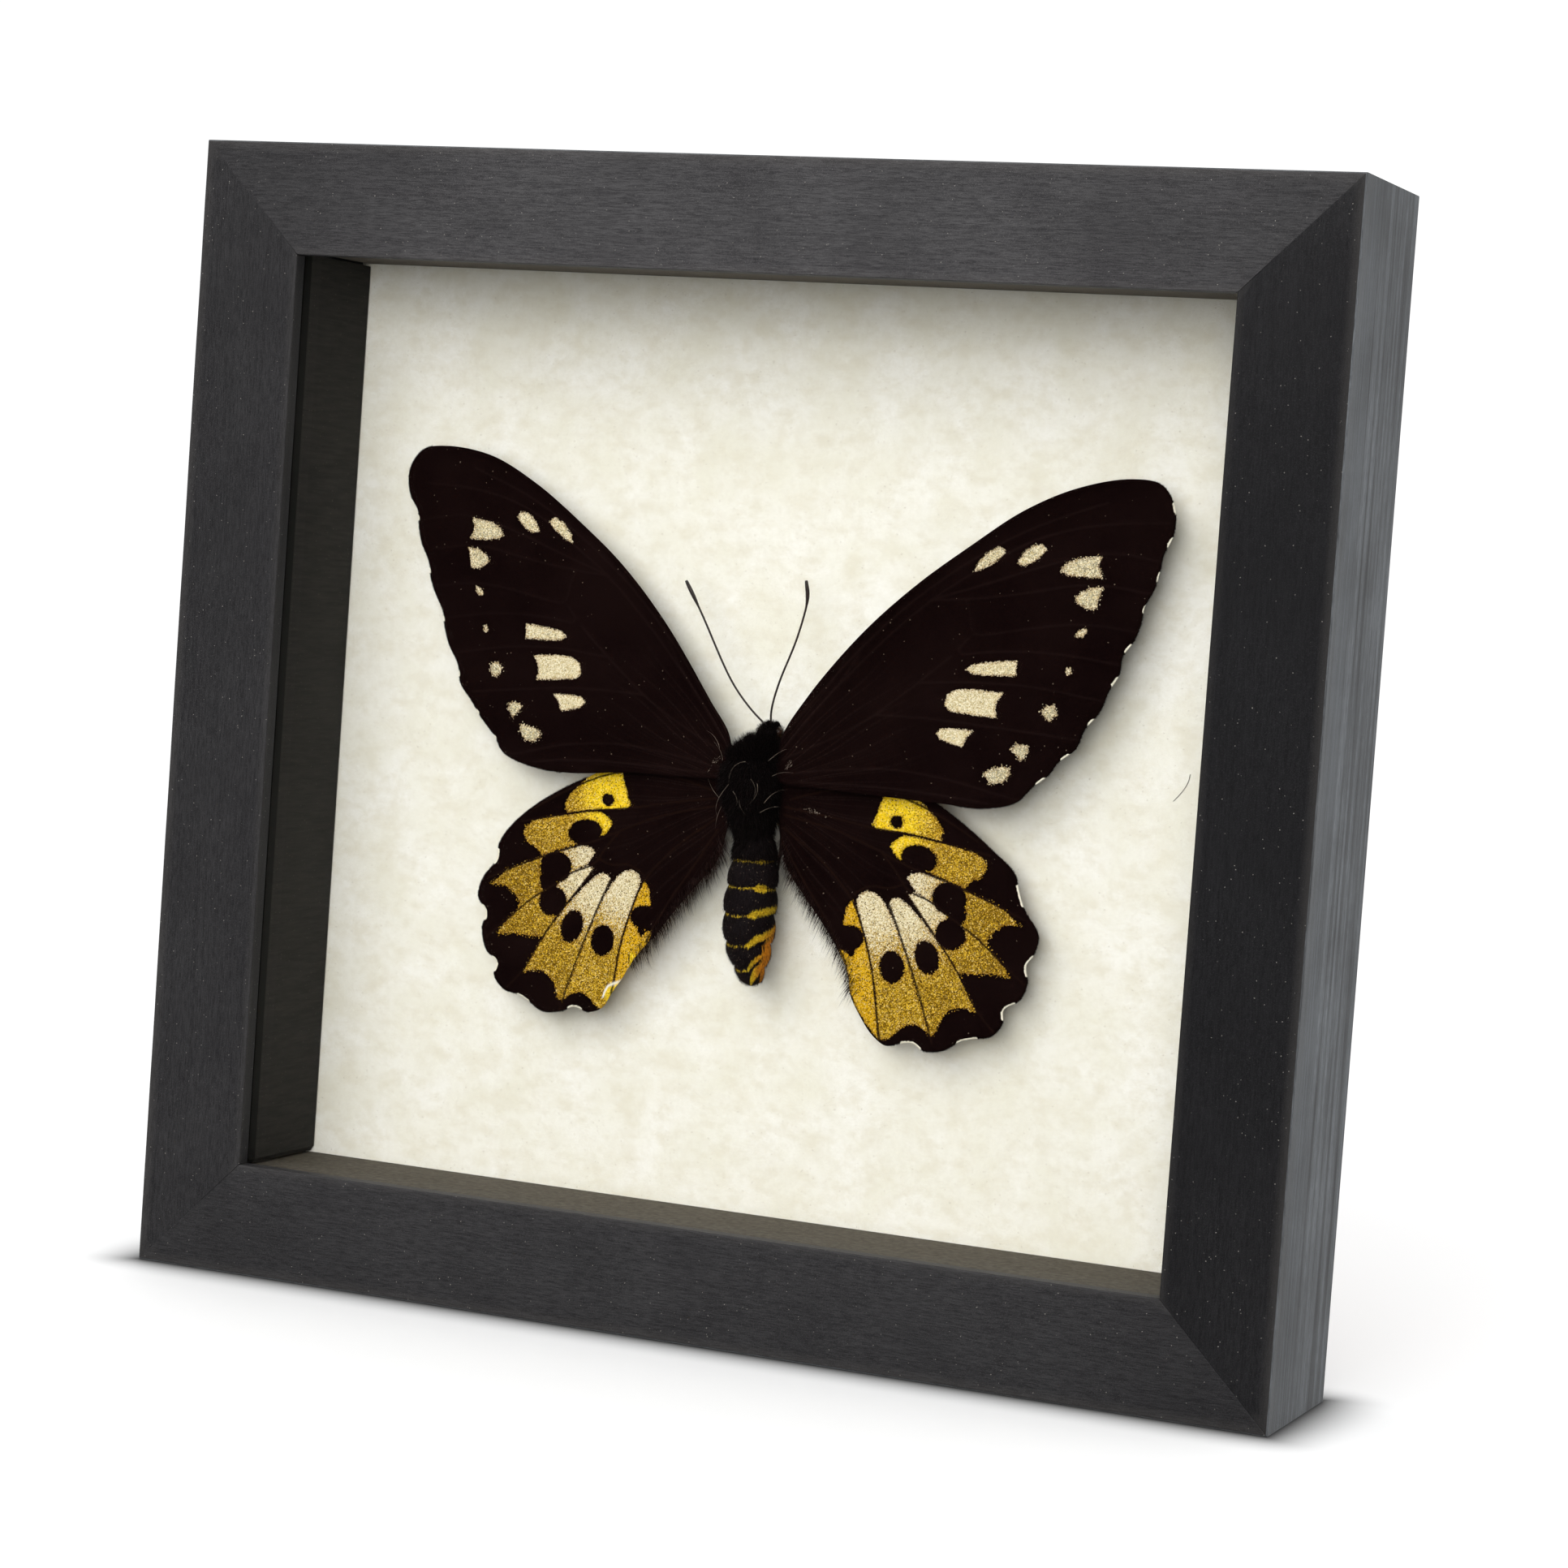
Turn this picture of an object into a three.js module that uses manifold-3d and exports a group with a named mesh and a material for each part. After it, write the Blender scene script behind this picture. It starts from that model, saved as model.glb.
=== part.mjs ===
// A framed butterfly specimen: a pinned birdwing butterfly behind glass in a black wooden shadow box.
//
// Millimetres, +Z up. The box stands upright on its bottom edge and looks along -Y. The origin is the
// middle of the footprint, at floor height. The left side of the box is at -X, as a viewer sees it.
// Touching pieces keep a gap of GAP, so that each one stays a closed solid of its own.

import * as THREE from "three";
import { mergeVertices } from "three/addons/utils/BufferGeometryUtils.js";
import Module from "manifold-3d";

const wasm = await Module();
wasm.setup();

// Driving dimensions of the box
const BOX_WIDTH = 230;
const BOX_HEIGHT = 219;
const BOX_DEPTH = 38;
const RAIL_WIDTH = 21.4; // width of a rail's front face
const LIP_DEPTH = 3.3; // how far the front lip reaches back before the rebate opens
const REBATE_WALL = 18; // thickness of a rail behind the lip
const FRONT_BEVEL = 0.5;
const REAR_BEVEL = 1;
const GAP = 0.3;
const MERGE_DISTANCE = 1e-4; // vertices nearer than this are one

// The layers behind the lip, from front to back
const GLASS_THICKNESS = 2.2;
const SPACER_THICKNESS = 2;
const PAPER_FACE = 32; // depth of the backing paper's face behind the front of the box
const PAPER_THICKNESS = 0.7;
const BOARD_THICKNESS = 2.5;

// The back: fixing points and hanger
const POINT_LENGTH = 14;
const POINT_WIDTH = 7;
const POINT_THICKNESS = 0.5;
const POINT_IN_WOOD = 6;
const POINT_PLACES = [-0.27, 0.27]; // along each side, as shares of its length
const HANGER_LENGTH = 46;
const HANGER_HEIGHT = 9;
const HANGER_METAL = 0.8;
const HANGER_DROP = 34; // from the top of the box
const HANGER_TEETH = 9;
const TOOTH_DEPTH = 1.8;
const NAIL_RADIUS = 0.9;
const NAIL_HEAD_RADIUS = 2.1;
const NAIL_HEAD_HEIGHT = 0.6;
const NAIL_IN_BOARD = 1.6;

// The specimen. Its plane lies between the glass and the paper
const WING_PLANE = 23; // depth of the specimen's plane behind the front of the box
const WING_THICKNESS = 0.5;
const FOREWING_LIFT = -1.3; // the forewings lie in front of the hindwings
const HINDWING_LIFT = 1.1;
const WING_DROOP = 1.5; // how far a wing curves back by its tip
const WING_SPAN = 80; // x at which the droop is reached
const FOLD_HEIGHT = 0.2; // the soft folds that fan out from a wing's base
const FOLD_WAVES = 9;
const FOLD_REACH = 38; // distance from the base at which a fold has its full height
const RIM_STEPS = 2; // steps between two points of a wing's outline
const WING_RINGS = [0.2, 0.42, 0.62, 0.81, 1];
const BODY_SIDES = 16;
const PIN_RADIUS = 0.35;
const PIN_X = -0.8;
const PIN_Z = 102.5;
const PIN_IN_THORAX = 7;
const PIN_IN_BOARD = 1.2;

// Depths are measured from the front of the box, and the origin is halfway back
const atDepth = (depth) => depth - BOX_DEPTH / 2;
const SPECIMEN_Y = atDepth(WING_PLANE);
const GLASS_FRONT = LIP_DEPTH + GAP;
const SPACER_FRONT = GLASS_FRONT + GLASS_THICKNESS + GAP;
const BOARD_FRONT = PAPER_FACE + PAPER_THICKNESS + GAP;
const BOARD_REAR = BOARD_FRONT + BOARD_THICKNESS;
const BACKPLATE_DEPTH = BOARD_REAR + GAP; // what lies on the board starts here

const COLOURS = {
  wood: { color: 0x2a292c, roughness: 0.42, metalness: 0 },
  glass: { color: 0xdfe8e6, roughness: 0.03, metalness: 0, transparent: true, opacity: 0.2 },
  spacer: { color: 0x1b1917, roughness: 0.6, metalness: 0 },
  paper: { color: 0xece7d6, roughness: 0.9, metalness: 0 },
  board: { color: 0x8a6a48, roughness: 0.85, metalness: 0 },
  steel: { color: 0xa9a9a6, roughness: 0.35, metalness: 0.9 },
  wing: { color: 0x22160f, roughness: 0.75, metalness: 0 },
  wing_gold: { color: 0xb08a2c, roughness: 0.7, metalness: 0 },
  body: { color: 0x15110e, roughness: 0.85, metalness: 0 },
  abdomen: { color: 0x2c2213, roughness: 0.8, metalness: 0 },
};

// Outlines of the wings: x out from the body's axis and z up, through which a smooth closed curve runs.
// Each starts at the leading root and goes out along the leading edge, down the scalloped outer edge
// and back to the body.
const FOREWING_RIGHT = [
  [5.2, 112], [10, 120.6], [20, 133.3], [30, 143], [40, 150.9], [50, 158.1], [60, 162.8], [70, 165],
  [75.6, 164.3], [78.4, 160.4], [78.6, 155.5], [77, 151.6], [76.6, 148.8], [75.8, 145.4], [74.2, 142],
  [73.8, 139], [72.6, 135.6], [70.8, 132.8], [70.4, 129.6], [68.6, 126.2], [67.2, 122.4], [64.6, 119],
  [63.2, 115.4], [60, 112.6], [58.4, 110.2], [55.4, 107.6], [52.6, 104.6], [46, 102.9], [38, 103.1],
  [26, 103.4], [14, 103.8], [5.2, 104.6],
];
const FOREWING_LEFT = [
  [5.2, 111.6], [10, 118.6], [20, 132], [30, 142.5], [40, 150.4], [50, 157.2], [60, 162], [70, 163.4],
  [75.4, 162.4], [78.1, 158.4], [77.6, 153.6], [75.6, 150.4], [75.2, 147.4], [74.3, 144.2], [72.4, 140.6],
  [71.8, 137.6], [70.4, 134.4], [68.6, 131.2], [68, 128.2], [66.8, 124.8], [64.6, 121.2], [63.8, 117.6],
  [61, 114.2], [58.9, 111.4], [55.6, 108], [53.2, 104.8], [47, 102.7], [39, 102.1], [26, 103.3],
  [14, 103.6], [5.2, 104.6],
];
const HINDWING_RIGHT = [
  [5.2, 103.6], [12, 107], [22, 108], [30, 106.2], [36.5, 102.8], [42.8, 99], [48, 95.2], [52.6, 91.4],
  [53.6, 88.4], [54.9, 85], [58, 80.4], [57.4, 76.9], [56, 74.6], [56.5, 71.4], [55.3, 68.2], [52.3, 66],
  [52.3, 63.4], [50.2, 60.8], [46.6, 60], [44.4, 59.3], [41.2, 57.2], [37.4, 56.7], [35, 57.9],
  [32.4, 57.5], [29.8, 56.8], [26.8, 58.6], [24.2, 61.8], [22, 65.5], [21, 70], [18.5, 74.2],
  [15, 78.8], [11.2, 83.2], [7.4, 88], [5.8, 93],
];
const HINDWING_LEFT = [
  [5.2, 103.4], [12, 106.6], [22, 107.6], [29, 105.8], [34, 102.4], [40, 99.3], [46, 95.5], [51, 91.2],
  [53.9, 87], [54.3, 83.8], [57, 80], [57.9, 76.2], [56, 73.3], [56.6, 70], [55.4, 66], [52.9, 63.8],
  [53.2, 61.2], [50.8, 58.7], [47.4, 58], [45.2, 57], [42, 55.4], [38, 55.8], [35.2, 57],
  [32, 56.3], [29.2, 57.4], [27.4, 60.2], [25.2, 63.8], [22.6, 68.2], [18.8, 72.8], [15, 78],
  [11.2, 82.8], [7.4, 87.6], [5.8, 92.6],
];
const FOREWING_CENTRE = [8, 108.4]; // the point that the rings of a forewing's surface shrink to
const HINDWING_CENTRE = [19, 94.5];
const WING_ROOT = [0, 102]; // the folds of all four wings fan out from here

// The body's cross sections, from tail to head: height z, middle x, half width and half depth
const THORAX_SECTIONS = [
  [94.5, -0.6, 2.6, 2.7], [95.2, -0.6, 3.7, 3.8], [96.6, -0.7, 4.7, 4.8], [99, -0.9, 5.4, 5.5],
  [102.5, -1, 5.8, 6], [106, -0.9, 5.7, 5.7], [108.4, -0.4, 4.9, 4.9], [109.8, 0.3, 3.9, 4.1],
  [110.5, 0.6, 2.9, 3.1],
];
const ABDOMEN_TOP = 94.2;
const ABDOMEN_TIP = 65.2;
const ABDOMEN_SEGMENTS = 6;
const ABDOMEN_STEP = 0.3; // how far each segment's rear edge stands over the next one
const ABDOMEN_FLATNESS = 0.96; // its depth as a share of its width
const ABDOMEN_BEND = 1.5; // sideways shift of the tip
// The abdomen's half width at even steps from the thorax to the tip
const ABDOMEN_HALF_WIDTHS = [3.9, 4.3, 4.8, 5.05, 5.1, 5.05, 4.7, 3.9, 2.7, 1];
const HEAD_MIDDLE = [1.9, 113];
const HEAD_RADIUS = 2.1;
const EYE_RADIUS = 1.35;
const EYE_SPREAD = 1.75;
const PALP_RADIUS = 0.8;

const ANTENNA_RIGHT = [
  [2.6, 115.2], [2.6, 118], [4, 123.3], [6.6, 129.8], [8, 134.5], [9, 139], [8.4, 142.4],
];
const ANTENNA_LEFT = [
  [1, 115.2], [-1.6, 117.4], [-5, 121.2], [-7.7, 125.5], [-12, 133.5], [-14, 137], [-16.2, 140.7],
];
const ANTENNA_LIFT = 0.6; // an antenna starts this far in front of the specimen's plane
const ANTENNA_RISE = 0.25; // and comes forward by this much at each point of its route
const ANTENNA_RADIUS = 0.2;
const ANTENNA_CLUB_RADIUS = 0.36;
const CLUB_LENGTH = 0.16; // share of the antenna that thickens to the club
const CLUB_ROUNDING = 0.86;
const ANTENNA_SIDES = 6;
const ANTENNA_STEPS = 22;

// A leg folded under the thorax: points as [x out from the axis, depth behind the specimen's plane, z]
const LEGS = {
  front: [[2.2, 5, 106.4], [4.2, 6.6, 107.6], [3.2, 7.9, 109.6], [2.6, 8.2, 111.6]],
  middle: [[2.6, 5.4, 102], [5.6, 7, 101], [5.8, 8, 97.4], [4.2, 8.2, 93.4]],
  rear: [[2.2, 5, 98.4], [3.8, 6.8, 95], [3.4, 7.8, 89.6], [2.4, 8.1, 84.2]],
};
const LEGS_X = -0.4; // the thorax's middle at the legs
const LEG_RADIUS = 0.42;
const LEG_TIP_RADIUS = 0.2;
const LEG_SIDES = 6;
const LEG_STEPS = 8;

const part = new THREE.Group();
part.name = "framed_butterfly";

function material(name) {
  return new THREE.MeshStandardMaterial({ name, ...COLOURS[name] });
}

function addPiece(name, geometry, colour) {
  const mesh = new THREE.Mesh(geometry, material(colour));
  mesh.name = name;
  part.add(mesh);
  return mesh;
}

// Joining and cutting

function solidOf(geometry) {
  const bare = geometry.clone();
  bare.deleteAttribute("normal");
  bare.deleteAttribute("uv");
  const merged = mergeVertices(bare, MERGE_DISTANCE);
  return new wasm.Manifold(
    new wasm.Mesh({
      numProp: 3,
      vertProperties: new Float32Array(merged.attributes.position.array),
      triVerts: new Uint32Array(merged.index.array),
    }),
  );
}

function geometryOf(solid) {
  const mesh = solid.getMesh();
  const geometry = new THREE.BufferGeometry();
  geometry.setAttribute("position", new THREE.BufferAttribute(mesh.vertProperties, 3));
  geometry.setIndex(new THREE.BufferAttribute(mesh.triVerts, 1));
  geometry.computeVertexNormals();
  return geometry;
}

function join(geometries) {
  return geometryOf(geometries.map(solidOf).reduce((all, one) => all.add(one)));
}

function cut(geometry, cutters) {
  return geometryOf(cutters.map(solidOf).reduce((rest, one) => rest.subtract(one), solidOf(geometry)));
}

// A box given by its low and high corners
function block(low, high) {
  const size = high.map((value, axis) => value - low[axis]);
  const middle = high.map((value, axis) => (value + low[axis]) / 2);
  return new THREE.BoxGeometry(...size).translate(...middle);
}

// A round bar along Y
function barAlongY(radius, x, z, front, rear, sides = 12) {
  return new THREE.CylinderGeometry(radius, radius, rear - front, sides).translate(x, (front + rear) / 2, z);
}

// A closed body from points and faces, with the faces turned to point outwards
function closedBody(points, faces) {
  const volumeUnder = ([a, b, c]) => points[a].clone().cross(points[b]).dot(points[c]);
  const outward = faces.reduce((sum, face) => sum + volumeUnder(face), 0) > 0;
  const geometry = new THREE.BufferGeometry().setFromPoints(points);
  geometry.setIndex(faces.flatMap(([a, b, c]) => (outward ? [a, b, c] : [a, c, b])));
  geometry.computeVertexNormals();
  return geometry;
}

// A closed skin over a row of rings with the same number of points. The first and the last ring are
// closed by a point in their middle.
function skin(rings) {
  const count = rings[0].length;
  const points = rings.flat();
  const middleOf = (ring) =>
    ring.reduce((sum, point) => sum.add(point), new THREE.Vector3()).divideScalar(count);
  const first = points.push(middleOf(rings[0])) - 1;
  const last = points.push(middleOf(rings[rings.length - 1])) - 1;
  const at = (ring, step) => ring * count + (step % count);
  const faces = [];
  for (let step = 0; step < count; step++) {
    faces.push([first, at(0, step + 1), at(0, step)]);
    faces.push([last, at(rings.length - 1, step), at(rings.length - 1, step + 1)]);
    for (let ring = 0; ring < rings.length - 1; ring++) {
      faces.push([at(ring, step), at(ring, step + 1), at(ring + 1, step)]);
      faces.push([at(ring, step + 1), at(ring + 1, step + 1), at(ring + 1, step)]);
    }
  }
  return closedBody(points, faces);
}

// A tapering tube along a smooth curve. radiusAt takes the share of the length, from 0 to 1
function taperedTube(points, radiusAt, steps, sides) {
  const curve = new THREE.CatmullRomCurve3(points);
  const back = new THREE.Vector3(0, 1, 0);
  const rings = Array.from({ length: steps + 1 }, (_, step) => {
    const share = step / steps;
    const middle = curve.getPointAt(share);
    const across = new THREE.Vector3().crossVectors(curve.getTangentAt(share), back).normalize();
    const deep = new THREE.Vector3().crossVectors(across, curve.getTangentAt(share));
    return Array.from({ length: sides }, (__, side) => {
      const angle = (2 * Math.PI * side) / sides;
      return middle
        .clone()
        .addScaledVector(across, radiusAt(share) * Math.cos(angle))
        .addScaledVector(deep, radiusAt(share) * Math.sin(angle));
    });
  });
  return skin(rings);
}

// A stack of upright elliptical sections. grow makes it larger all round, to cut room for a neighbour
function stackedBody(sections, grow = 0) {
  const last = sections.length - 1;
  const rings = sections.map(([z, x, halfWidth, halfDepth], index) => {
    const ends = index === 0 ? -grow : index === last ? grow : 0;
    return Array.from({ length: BODY_SIDES }, (_, side) => {
      const angle = (2 * Math.PI * side) / BODY_SIDES;
      return new THREE.Vector3(
        x + (halfWidth + grow) * Math.cos(angle),
        SPECIMEN_Y + (halfDepth + grow) * Math.sin(angle),
        z + ends,
      );
    });
  });
  return skin(rings);
}

// The box: four mitred rails with a rebate behind the front lip

// The rail's section: how far in from the outer face, and how deep behind the front of the box
const RAIL_SECTION = [
  [FRONT_BEVEL, 0],
  [RAIL_WIDTH - FRONT_BEVEL, 0],
  [RAIL_WIDTH, FRONT_BEVEL],
  [RAIL_WIDTH, LIP_DEPTH],
  [REBATE_WALL, LIP_DEPTH],
  [REBATE_WALL, BOX_DEPTH],
  [REAR_BEVEL, BOX_DEPTH],
  [0, BOX_DEPTH - REAR_BEVEL],
  [0, FRONT_BEVEL],
];

// One rail, lying along X with its outer face at z = 0. Its ends are mitred: each point of the section
// stops as far short of the corner as it lies in from the outer face.
function mitredRail(length) {
  const halfLength = length / 2 - GAP / 2;
  const ringAt = (end) =>
    RAIL_SECTION.map(
      ([inward, depth]) => new THREE.Vector3(end * (halfLength - inward), atDepth(depth), inward),
    );
  const section = RAIL_SECTION.map(([inward, depth]) => new THREE.Vector2(inward, depth));
  const capFaces = THREE.ShapeUtils.triangulateShape(section, []);
  const near = ringAt(-1);
  const far = ringAt(1);
  const count = near.length;
  const points = [...near, ...far];
  const faces = [];
  capFaces.forEach(([a, b, c]) => {
    faces.push([a, b, c]);
    faces.push([count + c, count + b, count + a]);
  });
  near.forEach((_, step) => {
    const next = (step + 1) % count;
    faces.push([next, step, count + step]);
    faces.push([next, count + step, count + next]);
  });
  return closedBody(points, faces);
}

// A fixing point by the bottom rail, half in the wood and half over the board, grown for its slot
function fixingPoint(x, grow = 0) {
  const start = REBATE_WALL - POINT_IN_WOOD;
  return block(
    [x - POINT_WIDTH / 2 - grow, atDepth(BACKPLATE_DEPTH) - grow, start - grow],
    [x + POINT_WIDTH / 2 + grow, atDepth(BACKPLATE_DEPTH) + POINT_THICKNESS + grow, start + POINT_LENGTH],
  );
}

// Each side of the box: its name, its length and the turn about Y that brings the bottom rail to it
const SIDES = [
  ["bottom", BOX_WIDTH, 0],
  ["right", BOX_HEIGHT, -Math.PI / 2],
  ["top", BOX_WIDTH, Math.PI],
  ["left", BOX_HEIGHT, Math.PI / 2],
];

// Turns a geometry made for the bottom side to another side of the box
function turnedTo(geometry, turn) {
  const halfHeight = BOX_HEIGHT / 2;
  const upright = Math.abs(Math.sin(turn)) > Math.abs(Math.cos(turn));
  const outerFace = upright ? BOX_WIDTH / 2 : halfHeight;
  return geometry.translate(0, 0, -outerFace).rotateY(turn).translate(0, 0, halfHeight);
}

SIDES.forEach(([side, length, turn]) => {
  const places = POINT_PLACES.map((share) => share * length);
  const slots = places.map((x) => fixingPoint(x, GAP));
  addPiece("frame_rail_" + side, turnedTo(cut(mitredRail(length), slots), turn), "wood");
  places.forEach((x, index) => {
    addPiece(`fixing_point_${side}_${index + 1}`, turnedTo(fixingPoint(x), turn), "steel");
  });
});

// The sheets in the rebate
const SHEET_HALF_WIDTH = BOX_WIDTH / 2 - REBATE_WALL - GAP;
const SHEET_LOW = REBATE_WALL + GAP;
const SHEET_HIGH = BOX_HEIGHT - REBATE_WALL - GAP;

function sheet(front, thickness) {
  return block(
    [-SHEET_HALF_WIDTH, atDepth(front), SHEET_LOW],
    [SHEET_HALF_WIDTH, atDepth(front + thickness), SHEET_HIGH],
  );
}

const pinHole = barAlongY(
  PIN_RADIUS + GAP,
  PIN_X,
  PIN_Z,
  SPECIMEN_Y - PIN_IN_THORAX + WING_DROOP,
  atDepth(BOARD_FRONT + PIN_IN_BOARD + GAP),
);

addPiece("glass_pane", sheet(GLASS_FRONT, GLASS_THICKNESS), "glass");
addPiece("backing_paper", cut(sheet(PAPER_FACE, PAPER_THICKNESS), [pinHole]), "paper");

// The spacer strips that line the box between the glass and the paper
const SPACER_SPAN = [atDepth(SPACER_FRONT), atDepth(PAPER_FACE) - GAP];

function spacer(lowX, highX, lowZ, highZ) {
  return block([lowX, SPACER_SPAN[0], lowZ], [highX, SPACER_SPAN[1], highZ]);
}

const innerLow = SHEET_LOW + SPACER_THICKNESS;
const innerHigh = SHEET_HIGH - SPACER_THICKNESS;
const innerSide = SHEET_HALF_WIDTH - SPACER_THICKNESS;
addPiece("spacer_bottom", spacer(-SHEET_HALF_WIDTH, SHEET_HALF_WIDTH, SHEET_LOW, innerLow), "spacer");
addPiece("spacer_top", spacer(-SHEET_HALF_WIDTH, SHEET_HALF_WIDTH, innerHigh, SHEET_HIGH), "spacer");
addPiece("spacer_left", spacer(-SHEET_HALF_WIDTH, -innerSide, innerLow + GAP, innerHigh - GAP), "spacer");
addPiece("spacer_right", spacer(innerSide, SHEET_HALF_WIDTH, innerLow + GAP, innerHigh - GAP), "spacer");

// The toothed hanger: two flat ends on the board and a raised strip with teeth on its lower edge
const HANGER_Z = BOX_HEIGHT - HANGER_DROP;
const HANGER_END = HANGER_HEIGHT * 0.9;
const NAIL_X = HANGER_LENGTH / 2 - HANGER_END / 2;

function hangerStrip() {
  const half = HANGER_LENGTH / 2 - HANGER_END;
  const low = HANGER_Z - HANGER_HEIGHT / 2;
  const outline = new THREE.Shape();
  outline.moveTo(-half - HANGER_METAL, low + HANGER_HEIGHT);
  outline.lineTo(-half - HANGER_METAL, low);
  for (let tooth = 0; tooth < HANGER_TEETH; tooth++) {
    const pitch = (2 * half) / HANGER_TEETH;
    const start = -half + tooth * pitch;
    outline.lineTo(start, low);
    outline.lineTo(start + pitch / 2, low + TOOTH_DEPTH);
  }
  outline.lineTo(half, low);
  outline.lineTo(half + HANGER_METAL, low);
  outline.lineTo(half + HANGER_METAL, low + HANGER_HEIGHT);
  return new THREE.ExtrudeGeometry(outline, { depth: HANGER_METAL, bevelEnabled: false })
    .rotateX(Math.PI / 2)
    .translate(0, atDepth(BACKPLATE_DEPTH) + 2 * HANGER_METAL, 0);
}

function hangerEnd(side) {
  const inner = HANGER_LENGTH / 2 - HANGER_END - HANGER_METAL;
  const xs = [side * inner, (side * HANGER_LENGTH) / 2].sort((a, b) => a - b);
  const flat = block(
    [xs[0], atDepth(BACKPLATE_DEPTH), HANGER_Z - HANGER_HEIGHT / 2],
    [xs[1], atDepth(BACKPLATE_DEPTH) + HANGER_METAL, HANGER_Z + HANGER_HEIGHT / 2],
  );
  const stepXs = [side * inner, side * (inner + HANGER_METAL)].sort((a, b) => a - b);
  const step = block(
    [stepXs[0], atDepth(BACKPLATE_DEPTH), HANGER_Z - HANGER_HEIGHT / 2],
    [stepXs[1], atDepth(BACKPLATE_DEPTH) + 1.5 * HANGER_METAL, HANGER_Z + HANGER_HEIGHT / 2],
  );
  return join([flat, step]);
}

const nailHoles = [-1, 1].map((side) =>
  barAlongY(
    NAIL_RADIUS + GAP,
    side * NAIL_X,
    HANGER_Z,
    atDepth(BOARD_REAR) - NAIL_IN_BOARD - GAP,
    atDepth(BOX_DEPTH),
  ),
);
addPiece("backing_board", cut(sheet(BOARD_FRONT, BOARD_THICKNESS), [pinHole, ...nailHoles]), "board");
addPiece("hanger", cut(join([hangerStrip(), hangerEnd(-1), hangerEnd(1)]), nailHoles), "steel");

const HANDS = [["left", -1], ["right", 1]];
HANDS.forEach(([name, side]) => {
  const x = side * NAIL_X;
  const tip = atDepth(BOARD_REAR) - NAIL_IN_BOARD;
  const headFront = atDepth(BACKPLATE_DEPTH) + HANGER_METAL + GAP / 2;
  const shank = barAlongY(NAIL_RADIUS, x, HANGER_Z, tip, headFront + NAIL_HEAD_HEIGHT / 2);
  const head = barAlongY(NAIL_HEAD_RADIUS, x, HANGER_Z, headFront, headFront + NAIL_HEAD_HEIGHT);
  addPiece("hanger_nail_" + name, join([shank, head]), "steel");
});

// The body

// Each segment widens to its rear edge, which stands over the start of the next one
function abdomenSections() {
  const steps = ABDOMEN_HALF_WIDTHS.length - 1;
  const outline = new THREE.SplineCurve(
    ABDOMEN_HALF_WIDTHS.map((half, index) => new THREE.Vector2(index / steps, half)),
  );
  const placesInSegment = [0.03, 0.25, 0.6, 0.97];
  const rearEdge = placesInSegment.length - 1;
  const sections = [];
  for (let segment = 0; segment < ABDOMEN_SEGMENTS; segment++) {
    placesInSegment.forEach((within, place) => {
      const share = (segment + within) / ABDOMEN_SEGMENTS;
      const half = outline.getPoint(share).y - (place === rearEdge ? 0 : ABDOMEN_STEP);
      const z = ABDOMEN_TOP - share * (ABDOMEN_TOP - ABDOMEN_TIP);
      sections.push([z, ABDOMEN_BEND * share ** 2, half, half * ABDOMEN_FLATNESS]);
    });
  }
  return sections;
}

const thorax = stackedBody(THORAX_SECTIONS);
const thoraxRoom = stackedBody(THORAX_SECTIONS, GAP);
const abdomen = stackedBody(abdomenSections());
const abdomenRoom = stackedBody(abdomenSections(), GAP);
addPiece("thorax", cut(thorax, [pinHole]), "body");
addPiece("abdomen", abdomen, "abdomen");

function ball(radius, x, y, z, stretch = [1, 1, 1]) {
  return new THREE.SphereGeometry(radius, 12, 8).scale(...stretch).translate(x, y, z);
}

function headShape(grow = 0) {
  const [x, z] = HEAD_MIDDLE;
  const skull = ball(HEAD_RADIUS + grow, x, SPECIMEN_Y, z, [1.05, 1, 0.95]);
  const eyes = [-1, 1].map((side) =>
    ball(EYE_RADIUS + grow, x + side * EYE_SPREAD, SPECIMEN_Y + 0.2, z + 0.4, [0.85, 1.1, 1.15]),
  );
  const palps = [-1, 1].map((side) =>
    ball(PALP_RADIUS + grow, x + side * PALP_RADIUS, SPECIMEN_Y + 1.2, z + HEAD_RADIUS, [0.8, 0.8, 1.5]),
  );
  return join([skull, ...eyes, ...palps]);
}

addPiece("head", cut(headShape(), [thoraxRoom]), "body");

// Antennae and legs

// Thin, then swelling to a club that rounds off at the tip
function antennaRadius(share) {
  const intoClub = Math.max(0, (share - 1 + CLUB_LENGTH) / CLUB_LENGTH);
  const swelling = Math.sin(Math.PI * CLUB_ROUNDING * intoClub);
  return ANTENNA_RADIUS + (ANTENNA_CLUB_RADIUS - ANTENNA_RADIUS) * swelling;
}

[["left", ANTENNA_LEFT], ["right", ANTENNA_RIGHT]].forEach(([name, route]) => {
  const points = route.map(
    ([x, z], index) => new THREE.Vector3(x, SPECIMEN_Y - ANTENNA_LIFT - ANTENNA_RISE * index, z),
  );
  const antenna = taperedTube(points, antennaRadius, ANTENNA_STEPS, ANTENNA_SIDES);
  addPiece("antenna_" + name, cut(antenna, [headShape(GAP)]), "body");
});

HANDS.forEach(([name, side]) => {
  Object.entries(LEGS).forEach(([pair, route]) => {
    const points = route.map(([x, depth, z]) => new THREE.Vector3(side * x + LEGS_X, SPECIMEN_Y + depth, z));
    const radiusAt = (share) => LEG_RADIUS + (LEG_TIP_RADIUS - LEG_RADIUS) * share;
    const leg = taperedTube(points, radiusAt, LEG_STEPS, LEG_SIDES);
    addPiece(`leg_${pair}_${name}`, cut(leg, [thoraxRoom, abdomenRoom]), "body");
  });
});

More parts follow.
